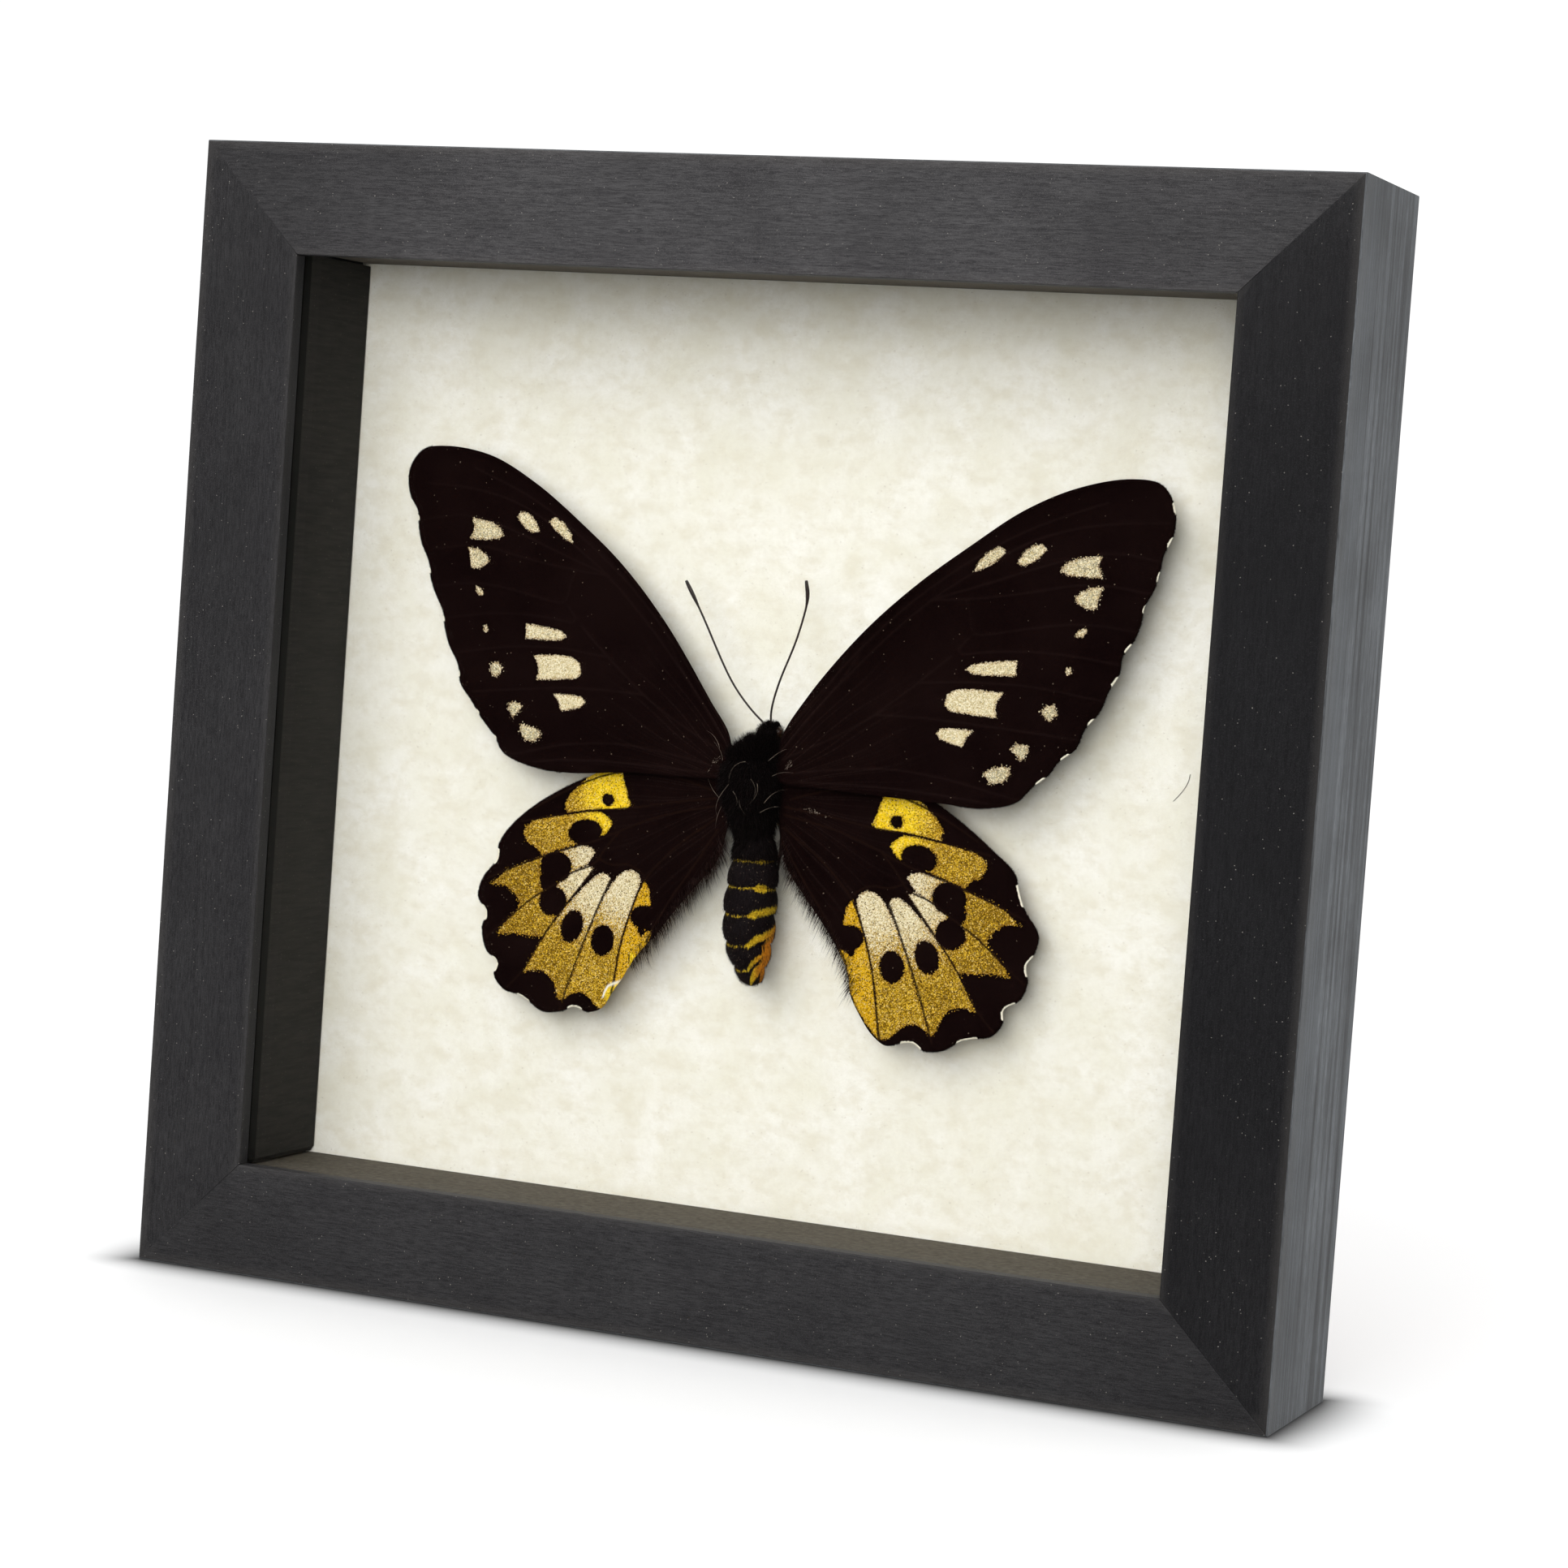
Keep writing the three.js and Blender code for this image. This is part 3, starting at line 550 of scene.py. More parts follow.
def clear_glass():
    """Full transmission, no roughness, and the faint green-blue of picture glass."""
    finish = Finish("clear_glass", roughness=0.0, Transmission_Weight=1.0, IOR=GLASS_REFRACTION)
    finish.set("Base Color", (0.985, 0.995, 0.99, 1.0))
    return finish.material


def dress(node, material):
    """Gives a plain node, whose shape stays as it is, its finish."""
    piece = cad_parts[node]
    piece.data.materials.clear()
    piece.data.materials.append(material)
    return piece


pane = dress("glass_pane", clear_glass())
pane.visible_shadow = False
print("glass pane dressed")

# %% [markdown]
# ## The lining of the box
# Four thin strips stand between the glass and the paper and hide the raw inside of the rails. They are
# stained almost black, matt and a little fibrous. Under daylight from above the bottom strip is lit, the
# top one gets the light it bounces up, and the slot between the strips and the lip lies in deep shade. The
# soft studio light here doesn't repeat the first, and these strips reach the glass, so both are painted:
# painted light makes those two faces paler, and painted shade makes the first few millimetres behind the
# glass black.

# %% Lining strips


SLOT_DEPTH = 2.6
STRIP_ROUND = 0.25
STRIP_STEPS = 240
spacer_ledge = np.array(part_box("spacer_bottom")) / MM
spacer_top = np.array(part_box("spacer_top")) / MM


def lining_finish():
    """Black with fibres along the depth, painted paler as painted light above the bottom strip's top and
    below the top strip's underside, specked with dust, and painted blackest as painted shade up to the
    slot's depth behind the strips' front."""
    finish = Finish("lining_black", roughness=0.8)
    finish.set("Specular IOR Level", 0.2)
    fibres = finish.stretched(5, 0.6, (1.6, 0.15, 1.6))
    dust = finish.between(finish.cells(0.8), 0.05, 0.1, 1, 0)
    base = finish.mix(finish.between(fibres, 0.3, 0.7), paint(34, 33, 31), paint(48, 46, 43))
    # Painted light: the top strip's underside is paler, as if lit by light bounced up from below.
    under = spacer_top[0, 2]
    lit = finish.between(finish.part(finish.place, "Z"), under - 0.5, under - 0.2, 0, 0.9)
    base = finish.mix(lit, base, paint(104, 98, 90))
    # Painted light: the bottom strip's top face is paler in patches, as if lit from above.
    ledge_top = spacer_ledge[1, 2]
    ledge = finish.between(finish.part(finish.place, "Z"), ledge_top + 0.2, ledge_top + 0.5, 0.9, 0)
    patches = finish.between(finish.noise(0.8, 4, 0.7), 0.3, 0.7)
    painted_ledge_light = finish.mix(patches, paint(68, 62, 54), paint(104, 97, 86))
    base = finish.mix(ledge, base, painted_ledge_light)
    base = finish.mix(finish.maths("MULTIPLY", dust, 0.25), base, paint(150, 142, 128))
    # Painted shade: the first few millimetres behind the glass are black, standing in for the shaded slot by
    # the lip.
    depth = finish.maths("SUBTRACT", finish.part(finish.place, "Y"), spacer_ledge[0, 1])
    slot = finish.between(depth, SLOT_DEPTH - 0.1, SLOT_DEPTH + 0.1, 1, 0)
    base = finish.mix(slot, base, paint(6, 5, 5))
    finish.set("Base Color", base)
    finish.set("Normal", finish.bump(fibres, 0.08, 0.5))
    return finish.material


def strip(node):
    """A strip with rounded edges: a rounded rectangle carried from the front to the back, drawn in a little
    at its front end."""
    low, high = np.array(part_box(node)) / MM
    size = high - low
    left, right = low[0] + STRIP_ROUND, high[0] - STRIP_ROUND
    bottom, top = low[2] + STRIP_ROUND, high[2] - STRIP_ROUND
    middles = [(right, top), (left, top), (left, bottom), (right, bottom)]
    corners = [arc(at, STRIP_ROUND, 90 * turn, 90 * turn + 90, 4) for turn, at in enumerate(middles)]
    outline = even_steps(np.vstack([*corners, corners[0][:1]]), STRIP_STEPS + 1)[:-1]
    inner_depths = np.linspace(low[1] + 0.5, high[1] - 0.2, 9)
    depths = np.concatenate([[low[1], low[1] + 0.15], inner_depths, [high[1]]])
    middle = (low + high)[[0, 2]] / 2
    shrink = np.where(np.arange(len(depths)) == 0, 1 - 0.3 / min(size[0], size[2]), 1.0)[:, None, None]
    flat = middle + (outline - middle) * np.where(size[[0, 2]] < 10, shrink, 1.0)
    y = np.broadcast_to(depths[:, None], flat.shape[:2])
    rings = np.stack([flat[..., 0], y, flat[..., 1]], axis=2)
    return skin(rings, poles=False)


lining = lining_finish()
for side in SIDE_LENGTHS:
    node = "spacer_" + side
    points, faces = strip(node)
    add_piece("lining_" + side, points, faces, lining, replaces=[node], smooth=False)

# %% [markdown]
# ## The paper
# The sheet behind the specimen is cream parchment paper: soft clouds of darker cream, fine fibres, and a
# very slight cockle, as paper gets when it is glued to a board. The cockle is real geometry, a sum of long
# waves under a fifth of a millimetre high, because light from the side shows it.

# %% Backing paper


def parchment():
    """Cream, with clouds, blotches, a fine mottle, level fibres and rare brown grit laid over it in turn."""
    finish = Finish("parchment_paper", roughness=0.9)
    finish.set("Specular IOR Level", 0.1)
    clouds = finish.noise(0.07, 5, 0.6, lumpy=0.3)
    blotches = finish.noise(0.22, 5, 0.7, place=finish.vector("MULTIPLY", finish.place, (0.8, 1.0, 1.2)))
    mottle = finish.noise(0.8, 3, 0.6)
    fibres = finish.stretched(3, 0.6, (1.4, 1.0, 5.0))
    base = finish.mix(finish.between(clouds, 0.36, 0.64), paint(252, 249, 240), paint(243, 239, 223))
    base = finish.mix(finish.between(blotches, 0.46, 0.66, 0, 0.55), base, paint(230, 222, 200))
    base = finish.mix(finish.between(mottle, 0.45, 0.75, 0, 0.35), base, paint(231, 225, 208))
    base = finish.mix(finish.between(fibres, 0.5, 0.8, 0, 0.3), base, paint(220, 212, 192))
    grit = finish.scatter(5)
    base = finish.mix(finish.between(grit[0], 0.9965, 0.998, 0, 0.35), base, paint(150, 132, 104))
    base = finish.mix(finish.between(grit[1], 0.0, 1.0, 0, 0.16), base, paint(222, 216, 200))
    finish.set("Base Color", base)
    finish.set("Normal", finish.bump(finish.noise(2.2, 4, 0.7), 0.03, 0.5))
    return finish.material


COCKLE_HEIGHT = 0.07
COCKLE_EDGE = 25
SHEET_SETBACK = 0.1
SHEET_THICKNESS = 0.35


def slab(front, rear):
    """A thin slab between two grids of points shaped (row, column, xyz): ring k runs along row k of the
    front grid and back along row k of the rear grid."""
    rings = np.concatenate([front, rear[:, ::-1]], axis=1)
    return skin(rings, poles=False)


def paper_sheet():
    """Depth = the sheet's plane + a sum of three long waves that fade out at the edges."""
    low, high = paper_box
    x = np.linspace(low[0], high[0], 150)[:, None]
    z = np.linspace(low[2], high[2], 140)[None, :]
    waves = np.sin(x * 0.043 + z * 0.017)
    waves = waves + 0.6 * np.sin(z * 0.06 - x * 0.02 + 1)
    waves = waves + 0.4 * np.sin(x * 0.11 + 2)
    from_edge = np.minimum(np.minimum(x - low[0], high[0] - x), np.minimum(z - low[2], high[2] - z))
    cockle = COCKLE_HEIGHT * waves * np.clip(from_edge / COCKLE_EDGE, 0, 1)
    front = np.stack([x + 0 * z, low[1] + SHEET_SETBACK + cockle, z + 0 * x], axis=2)
    rear = front + np.array([0, SHEET_THICKNESS, 0])
    return slab(front, rear)


points, faces = paper_sheet()
add_piece("paper_sheet", points, faces, parchment(), replaces=["backing_paper"])

# %% [markdown]
# ## Wing shapes
# A butterfly's wing is a stiff membrane a tenth of a millimetre thick, held by veins that fan out from its
# root. Here the outline is a smooth curve through listed points, and the membrane is a fan of rings
# between a point near the root and that outline. Each point's depth is a formula of its place: the wing
# droops towards its tip, soft folds fan out from the root, the veins stand up, and the membrane sinks a
# little between them.

# %% Wing outlines and veins
# Places are x out from the body's axis and z up, in millimetres, for a wing on the right-hand side.
FOREWING_RIGHT = [
    (5.2, 112), (10, 120.6), (20, 133.3), (30, 143), (40, 150.9), (50, 158.1), (60, 162.8), (70, 165),
    (75.6, 164.3), (78.4, 160.4), (78.6, 155.5), (77, 151.6), (76.6, 148.8), (75.8, 145.4), (74.2, 142),
    (73.8, 139), (72.6, 135.6), (70.8, 132.8), (70.4, 129.6), (68.6, 126.2), (67.2, 122.4), (64.6, 119),
    (63.2, 115.4), (60, 112.6), (58.4, 110.2), (55.4, 107.6), (52.6, 104.6), (46, 102.9), (38, 103.1),
    (26, 103.4), (14, 103.8), (5.2, 104.6),
]
FOREWING_LEFT = [
    (5.2, 111.6), (10, 118.6), (20, 132), (30, 142.5), (40, 150.4), (50, 157.2), (60, 162), (70, 163.4),
    (75.4, 162.4), (78.1, 158.4), (77.6, 153.6), (75.6, 150.4), (75.2, 147.4), (74.3, 144.2),
    (72.4, 140.6), (71.8, 137.6), (70.4, 134.4), (68.6, 131.2), (68, 128.2), (66.8, 124.8),
    (64.6, 121.2), (63.8, 117.6), (61, 114.2), (58.9, 111.4), (55.6, 108), (53.2, 104.8), (47, 102.7),
    (39, 102.1), (26, 103.3), (14, 103.6), (5.2, 104.6),
]
HINDWING_RIGHT = [
    (5.2, 103.6), (12, 107), (22, 108), (30, 106.2), (36.5, 102.8), (42.8, 99), (48, 95.2), (52.6, 91.4),
    (53.6, 88.4), (54.9, 85), (58, 80.4), (57.4, 76.9), (56, 74.6), (56.5, 71.4), (55.3, 68.2), (52.3, 66),
    (52.3, 63.4), (50.2, 60.8), (46.6, 60), (44.4, 59.3), (41.2, 57.2), (37.4, 56.7), (35, 57.9),
    (32.4, 57.5), (29.8, 56.8), (26.8, 58.6), (24.2, 61.8), (22, 65.5), (21, 70), (18.5, 74.2),
    (15, 78.8), (11.2, 83.2), (7.4, 88), (5.8, 93),
]
HINDWING_LEFT = [
    (5.2, 103.4), (12, 106.6), (22, 107.6), (29, 105.8), (34, 102.4), (40, 99.3), (46, 95.5), (51, 91.2),
    (53.9, 87), (54.3, 83.8), (57, 80), (57.9, 76.2), (56, 73.3), (56.6, 70), (55.4, 66), (52.9, 63.8),
    (53.2, 61.2), (50.8, 58.7), (47.4, 58), (45.2, 57), (42, 55.4), (38, 55.8), (35.2, 57),
    (32, 56.3), (29.2, 57.4), (27.4, 60.2), (25.2, 63.8), (22.6, 68.2), (18.8, 72.8), (15, 78),
    (11.2, 82.8), (7.4, 87.6), (5.8, 92.6),
]
FOREWING_VEINS = [
    [(5, 112), (12, 121), (22, 133), (34, 144), (50, 154.5), (66, 160.5)],
    [(5.5, 110), (14, 121), (24, 132), (33, 140.5), (41, 146), (52, 153), (64, 156.5), (78, 157.5)],
    [(33, 140.5), (42, 143.5), (54, 148), (66, 151.8), (77, 150.4)],
    [(33, 140.5), (40, 141), (52, 143), (64, 145.9), (75.4, 144.4)],
    [(40, 141), (41.5, 137.5), (41.2, 134), (52, 136.5), (63, 138.4), (73.4, 137.4)],
    [(41.2, 134), (38, 130.4), (46, 132), (58, 132.6), (70.6, 131.2)],
    [(6, 108.6), (16, 113.4), (24, 118.4), (32, 125), (38, 130.4)],
    [(32, 125), (42, 126), (54, 126.2), (68, 124.4)],
    [(24, 118.4), (34, 118.7), (48, 118), (63.6, 117)],
    [(7, 106), (18, 107.7), (28, 108.8), (40, 107.6), (48, 105.9), (53, 105)],
    [(10, 104.6), (24, 105.2), (40, 104.6), (47, 103.8)],
]
HINDWING_VEINS = [
    [(7, 101), (16, 104), (26, 104.6), (36, 101.4), (45, 96.6)],
    [(6, 99.5), (15, 98.6), (24.3, 97.1), (33, 96.6), (40, 95.5), (47.5, 94.2)],
    [(6, 98), (17, 96.2), (26, 93), (31.5, 90.6), (36, 89.6), (43, 87.5), (49, 85.4), (55, 83)],
    [(26, 93), (29.6, 89.4), (31.6, 86), (36.6, 84.8), (41, 81.6), (45.4, 79.4), (49.5, 76), (56, 71)],
    [(31.6, 85.8), (34.4, 82.3), (38, 78.2), (40.6, 75), (43.4, 71.3), (47, 65.2), (51, 61.5)],
    [(28.2, 83.6), (30.4, 79.2), (33, 73.4), (35.3, 68), (37.2, 63.2), (39, 58)],
    [(6, 95.6), (14, 90.6), (21.3, 83.6), (23.6, 78.2), (25.4, 73), (26.6, 68.4), (27.4, 63.6), (28.4, 58)],
    [(21.3, 84.6), (24.4, 86.6), (28.2, 86), (31.4, 87.6)],
    [(5.6, 93.6), (10.4, 86.6), (16.6, 78.6), (20.6, 71.6)],
]
FOREWING_CENTRE = np.array([8, 108.4])
HINDWING_CENTRE = np.array([19, 94.5])
WING_PLANE = 4.0
FOREWING_LIFT = -1.3
HINDWING_LIFT = 1.1
WING_DROOP = 1.5
WING_SPAN = 80
WING_ROOT = (0, 102)
FOLD_HEIGHT = 0.2
FOLD_WAVES = 9
FOLD_REACH = 38
MEMBRANE = 0.14
VEIN_HEIGHT = 0.08
VEIN_WIDTH = 0.3
SINK_DEPTH = 0.05
SINK_WIDTH = 2.6


def outline_distance(points, corners):
    """Distance to a closed outline, positive inside it. For each side it is the distance to the nearest
    point of that side; a point is inside if a line from it crosses the outline an odd number of times."""
    a = np.asarray(corners, float)
    b = np.roll(a, -1, axis=0)
    x, z = points[:, 0][:, None], points[:, 1][:, None]
    side = b - a
    share = ((x - a[:, 0]) * side[:, 0] + (z - a[:, 1]) * side[:, 1]) / (side**2).sum(1)
    share = np.clip(share, 0, 1)
    gap = np.hypot(x - a[:, 0] - share * side[:, 0], z - a[:, 1] - share * side[:, 1]).min(1)
    spans = (a[:, 1] > z) != (b[:, 1] > z)
    reach = np.where(side[:, 1] == 0, 1e-9, side[:, 1])
    crossings = (spans & (x < a[:, 0] + (z - a[:, 1]) * side[:, 0] / reach)).sum(1)
    return np.where(crossings % 2 == 1, gap, -gap)


def path_distance(points, path):
    """Distance to the nearest point of an open path."""
    a, b = np.asarray(path[:-1], float), np.asarray(path[1:], float)
    x, z = points[:, 0][:, None], points[:, 1][:, None]
    side = b - a
    share = ((x - a[:, 0]) * side[:, 0] + (z - a[:, 1]) * side[:, 1]) / (side**2).sum(1)
    share = np.clip(share, 0, 1)
    return np.hypot(x - a[:, 0] - share * side[:, 0], z - a[:, 1] - share * side[:, 1]).min(1)


def vein_distance(points, veins):
    """Distance to the nearest of the veins, each smoothed first."""
    return np.min([path_distance(points, smooth_path(vein, 24)) for vein in veins], axis=0)


def wing_depth(points, lift):
    """Depth behind the specimen's plane = lift + droop times the square of the share of the span + folds,
    a sine of the angle about the root that grows with the distance from it."""
    x, z = points[:, 0], points[:, 1]
    reach = np.hypot(x - WING_ROOT[0], z - WING_ROOT[1])
    angle = np.arctan2(z - WING_ROOT[1], x - WING_ROOT[0])
    fold = FOLD_HEIGHT * np.sin(FOLD_WAVES * angle) * np.minimum(1, reach / FOLD_REACH)
    return lift + WING_DROOP * (x / WING_SPAN) ** 2 + fold


print(len(FOREWING_VEINS), "forewing veins,", len(HINDWING_VEINS), "hindwing veins")

# %% [markdown]
# ## Wing markings
# The markings are coloured scales, so they are colour and not relief. Painting them with a picture would
# fix their sharpness. Instead each point of the mesh stores its distance to the edge of a marking, and the
# finish turns that distance into colour with a noise added to it. The edge then breaks up into single
# powdery scales however close the camera comes.

# %% Markings
# Cream spots of the forewing: an outline and how much dark dust lies on it.
FOREWING_SPOTS = [
    (0.3, [(41.2, 146.2), (41.8, 148), (43.8, 150.2), (46, 151.2), (47.1, 150.4), (46, 149), (43.4, 147.2)]),
    (0.3, [(49.3, 148.4), (50.8, 148), (52.6, 148.8), (54.2, 150.2), (54.9, 151.2), (54, 152.1),
           (52.4, 151.9), (50.6, 150.6)]),
    (0.45, [(57.8, 147.5), (58.6, 148.8), (60.6, 149.9), (65.6, 150.8), (65, 149), (65.9, 146.7),
            (61, 146.7), (59, 146.9)]),
    (0.45, [(61, 142.6), (61.8, 143.7), (63.4, 144.7), (66.3, 145.1), (65.4, 142.8), (65.2, 141.1),
           (63.2, 141), (61.6, 141.8)]),
    (0.35, [(61.6, 136), (62.2, 136.9), (63.6, 137.6), (63.7, 136.9), (63.1, 135.9), (62.2, 135.7)]),
    (0.35, [(60.2, 129.2), (60.4, 130), (61, 130), (61.4, 129.2), (61, 128.7), (60.6, 128.7)]),
    (0.14, [(41, 128.2), (42.4, 129.3), (45.4, 129.9), (50.9, 130.6), (50.8, 129), (51, 127.7), (45, 127.4),
            (42.4, 127.5)]),
    (0.03, [(37.3, 121.4), (37.8, 123.4), (39.6, 124.4), (43, 124.7), (48.7, 124.5), (47.5, 122.8),
            (47.3, 121.2), (47.8, 119.7), (43, 119.9), (38.4, 120.3)]),
    (0.03, [(36.1, 116), (36.8, 116.9), (39, 117.2), (43.4, 117.1), (42, 115.6), (41.4, 113.8), (39, 114.3),
            (37, 114.9)]),
    (0.6, [(56.1, 121.6), (57, 122.8), (58.6, 122.8), (59.2, 121.5), (57.9, 119.9), (57, 120.4)]),
    (0.6, [(50.7, 114.4), (51.8, 115.2), (54, 115.1), (54.1, 113.9), (52.8, 112.2), (51.9, 113.2)]),
    (0.6, [(45.7, 109.3), (47.2, 110.4), (50.8, 111), (50.9, 109.6), (49.6, 108), (47.2, 107.7)]),
]
# Golden patches of the hindwing. Each has its outline, the place of its inner end, the distances from
# there over which the pale scales give way to gold, what the inner end's colour is, and how much dark
# dust its outer end has.
PALE, YELLOW, ORANGE = "pale", "yellow", "orange"
HINDWING_PATCHES = [
    ((25, 99.5), (6, 12), YELLOW, 0.8, [
        (25.7, 103), (26, 105), (31, 105), (34.3, 102), (36.7, 100), (38, 98), (37.7, 96.1), (33, 96.7),
        (30.5, 97), (27, 97), (25, 97.1), (23.9, 97.8), (24.6, 99.4), (25, 101)]),
    ((29, 94.5), (2, 8), YELLOW, 0.75, [
        (27.8, 94), (28.6, 95.3), (30.2, 96.3), (33, 96.4), (37.3, 95.6), (41.2, 95.2), (44.9, 94.3),
        (46.6, 93.2), (47.1, 91.8), (46.2, 90.2), (44.6, 89.4), (43, 87.7), (41, 88.5), (38, 89.4),
        (34.6, 90.4), (31.6, 91.3), (29.6, 92)]),
    ((33, 88.2), (1, 9), PALE, 1.0, [
        (31.6, 88.4), (32.4, 89.4), (34.2, 89.9), (37.6, 89.1), (43, 87.4), (47.4, 85.8), (50.8, 84.6),
        (52.8, 82.9), (54.1, 82), (51.2, 81.6), (49.3, 80.3), (48.1, 78.6), (48.4, 76.8), (45.4, 79.2),
        (41, 81.4), (36.4, 84.7), (33.4, 86.2)]),
    ((34, 85), (3, 12), PALE, 1.0, [
        (32, 85.4), (33.2, 86), (36.6, 84.6), (40.2, 81.8), (43, 80.8), (45.6, 79.3), (48.2, 77.2),
        (50.3, 75.4), (51.8, 73.8), (52.9, 72.1), (49.6, 72.5), (46, 72), (43.2, 71.9), (41.4, 73.9),
        (38.2, 78), (34.6, 82.2)]),
    ((30, 83.4), (4, 15), PALE, 0.85, [
        (28.3, 83.4), (28.9, 84.4), (30.2, 84.7), (31.8, 83.8), (34.4, 81.6), (38, 77.8), (41, 74.2),
        (43.4, 70.9), (45, 68.2), (47, 65), (45.7, 65.3), (43.8, 65.5), (41.8, 64.8), (40.4, 63.2),
        (39.8, 61.4), (39.3, 60.1), (38.5, 59.6), (37, 63.2), (35.2, 67.6), (33, 73), (30.5, 78.8)]),
    ((24, 84), (4, 15), PALE, 0.5, [
        (21.8, 83.2), (22.4, 84.7), (23.8, 85.4), (25.4, 85.1), (26.9, 84.1), (28.2, 82.4), (30.4, 78.7),
        (33, 72.8), (35.1, 67.4), (37, 62.8), (38.3, 60), (36.5, 61.1), (34.8, 61.5), (33.4, 61.1),
        (32.2, 60.1), (31, 58.8), (29.8, 58), (28.4, 57.9), (27.6, 63), (26.8, 68.2), (25.5, 73),
        (23.5, 78.6)]),
    ((21, 82), (0, 2), ORANGE, 0.3, [
        (21.1, 83.4), (20, 81.8), (19.6, 78.8), (20.4, 75.8), (21.2, 73), (20.4, 73.6), (19.2, 73.8),
        (20.2, 71.6), (21.4, 69.4), (21.6, 67), (22.6, 64.9), (24.2, 62.2), (26, 60.1), (27.5, 58.5),
        (28.2, 58), (27.2, 64), (26.2, 69.6), (25, 73.8), (23.2, 78.6), (22.2, 81.2)]),
]
# Dark ovals on the patches: middle, half sizes and tilt in degrees.
HINDWING_OVALS = [
    ((28.8, 98.8), (1.3, 1.2), 0),
    ((33.8, 92.4), (3.7, 2.45), -8),
    ((40.2, 85.5), (3.5, 3.1), -8),
    ((41.8, 82.8), (2, 2.4), 0),
    ((40.9, 78.8), (3.1, 2.9), -15),
    ((36.6, 74.1), (2.35, 3.25), 20),
    ((29.9, 71.6), (2.5, 3.1), 12),
    ((20.7, 76.2), (3.3, 2.4), 8),
    ((21.6, 74), (0.8, 1.3), 0),
]
# The left wings carry the same markings: the forewing's drawn in towards the body, the hindwing's set a
# little lower and turned about a pivot.
LEFT_FOREWING_START = 41
LEFT_FOREWING_DRAW = (0.105, 0.045)
LEFT_HINDWING_PIVOT = np.array([17, 73])
LEFT_HINDWING_TURN = math.radians(4.0)
LEFT_HINDWING_SHIFT = np.array([0.3, -0.3])


def right_hand_place(points, kind, side):
    """Where a point of the left wing lies in the right wing's pattern: further out in proportion to its
    distance beyond a start, or shifted and turned, x cos - z sin and x sin + z cos."""
    if side > 0:
        return points
    if kind == "forewing":
        outward = np.maximum(0, points[:, 0] - LEFT_FOREWING_START)
        return points + np.stack([share * outward for share in LEFT_FOREWING_DRAW], axis=1)
    x, z = (points - LEFT_HINDWING_SHIFT - LEFT_HINDWING_PIVOT).T
    cos, sin = math.cos(LEFT_HINDWING_TURN), math.sin(LEFT_HINDWING_TURN)
    return np.stack([x * cos - z * sin, x * sin + z * cos], axis=1) + LEFT_HINDWING_PIVOT


def oval_distance(points, middle, half, tilt):
    """About the distance to an oval's edge, positive inside: one minus the length of the place divided by
    the half sizes, times the mean half size."""
    angle = math.radians(tilt)
    offset = points - np.array(middle)
    along = offset[:, 0] * math.cos(angle) + offset[:, 1] * math.sin(angle)
    across = offset[:, 1] * math.cos(angle) - offset[:, 0] * math.sin(angle)
    return (1 - np.hypot(along / half[0], across / half[1])) * (half[0] + half[1]) / 2


def forewing_markings(points):
    """spot is the distance to the nearest spot's edge, and dust that spot's share of dark dust."""
    spots = np.array([outline_distance(points, outline) for _, outline in FOREWING_SPOTS])
    dusts = np.array([dust for dust, _ in FOREWING_SPOTS])
    nearest = spots.argmax(0)
    nothing = np.zeros(len(points))
    return {"mark": spots.max(0), "dust": dusts[nearest], "pale": nothing + 1, "yellow": nothing,
            "orange": nothing, "crease": nothing}


def hindwing_markings(points):
    """mark is the distance to the edge of the golden patches, less the dark ovals. pale, yellow and orange
    say which colour the inner end of the nearest patch has and how much of it is left here."""
    patches = np.array([outline_distance(points, patch[4]) for patch in HINDWING_PATCHES])
    nearest = patches.argmax(0)
    starts = np.array([patch[0] for patch in HINDWING_PATCHES])[nearest]
    fades = np.array([patch[1] for patch in HINDWING_PATCHES], float)[nearest]
    kinds = np.array([patch[2] for patch in HINDWING_PATCHES])[nearest]
    dusty = np.array([patch[3] for patch in HINDWING_PATCHES])[nearest]
    outward = np.hypot(points[:, 0] - starts[:, 0], points[:, 1] - starts[:, 1])
    inner = 1 - np.clip((outward - fades[:, 0]) / (fades[:, 1] - fades[:, 0]), 0, 1)
    ovals = np.max([oval_distance(points, *oval) for oval in HINDWING_OVALS], axis=0)
    orange = np.where(kinds == ORANGE, 1.0, 0.0)
    further = np.clip((outward - fades[:, 0]) / 16, 0, 1)
    dust = 0.1 + dusty * np.where(kinds == ORANGE, 0.4, (1 - inner) * (0.16 + 0.4 * further))
    return {
        "crease": np.zeros(len(points)),
        "mark": np.minimum(patches.max(0), -ovals),
        "dust": dust,
        "pale": np.where(kinds == PALE, inner, 0.0),
        "yellow": np.where(kinds == YELLOW, inner, 0.0),
        "orange": orange,
    }


print(len(FOREWING_SPOTS), "spots,", len(HINDWING_PATCHES), "patches,", len(HINDWING_OVALS), "ovals")

# %% [markdown]
# ## Powdery scales
# A wing's colour is a layer of scales, each a tenth or two of a millimetre long. Up close it is a fine
# powder: dark scales are strewn over the gold, pale ones lie loose on the black, and the sheen is soft.
# The dark ground is warm brown, never pure black, and paler near the root in streaks of painted sheen.

# %% Wing scales
SCALES_PER_MM = 5.2


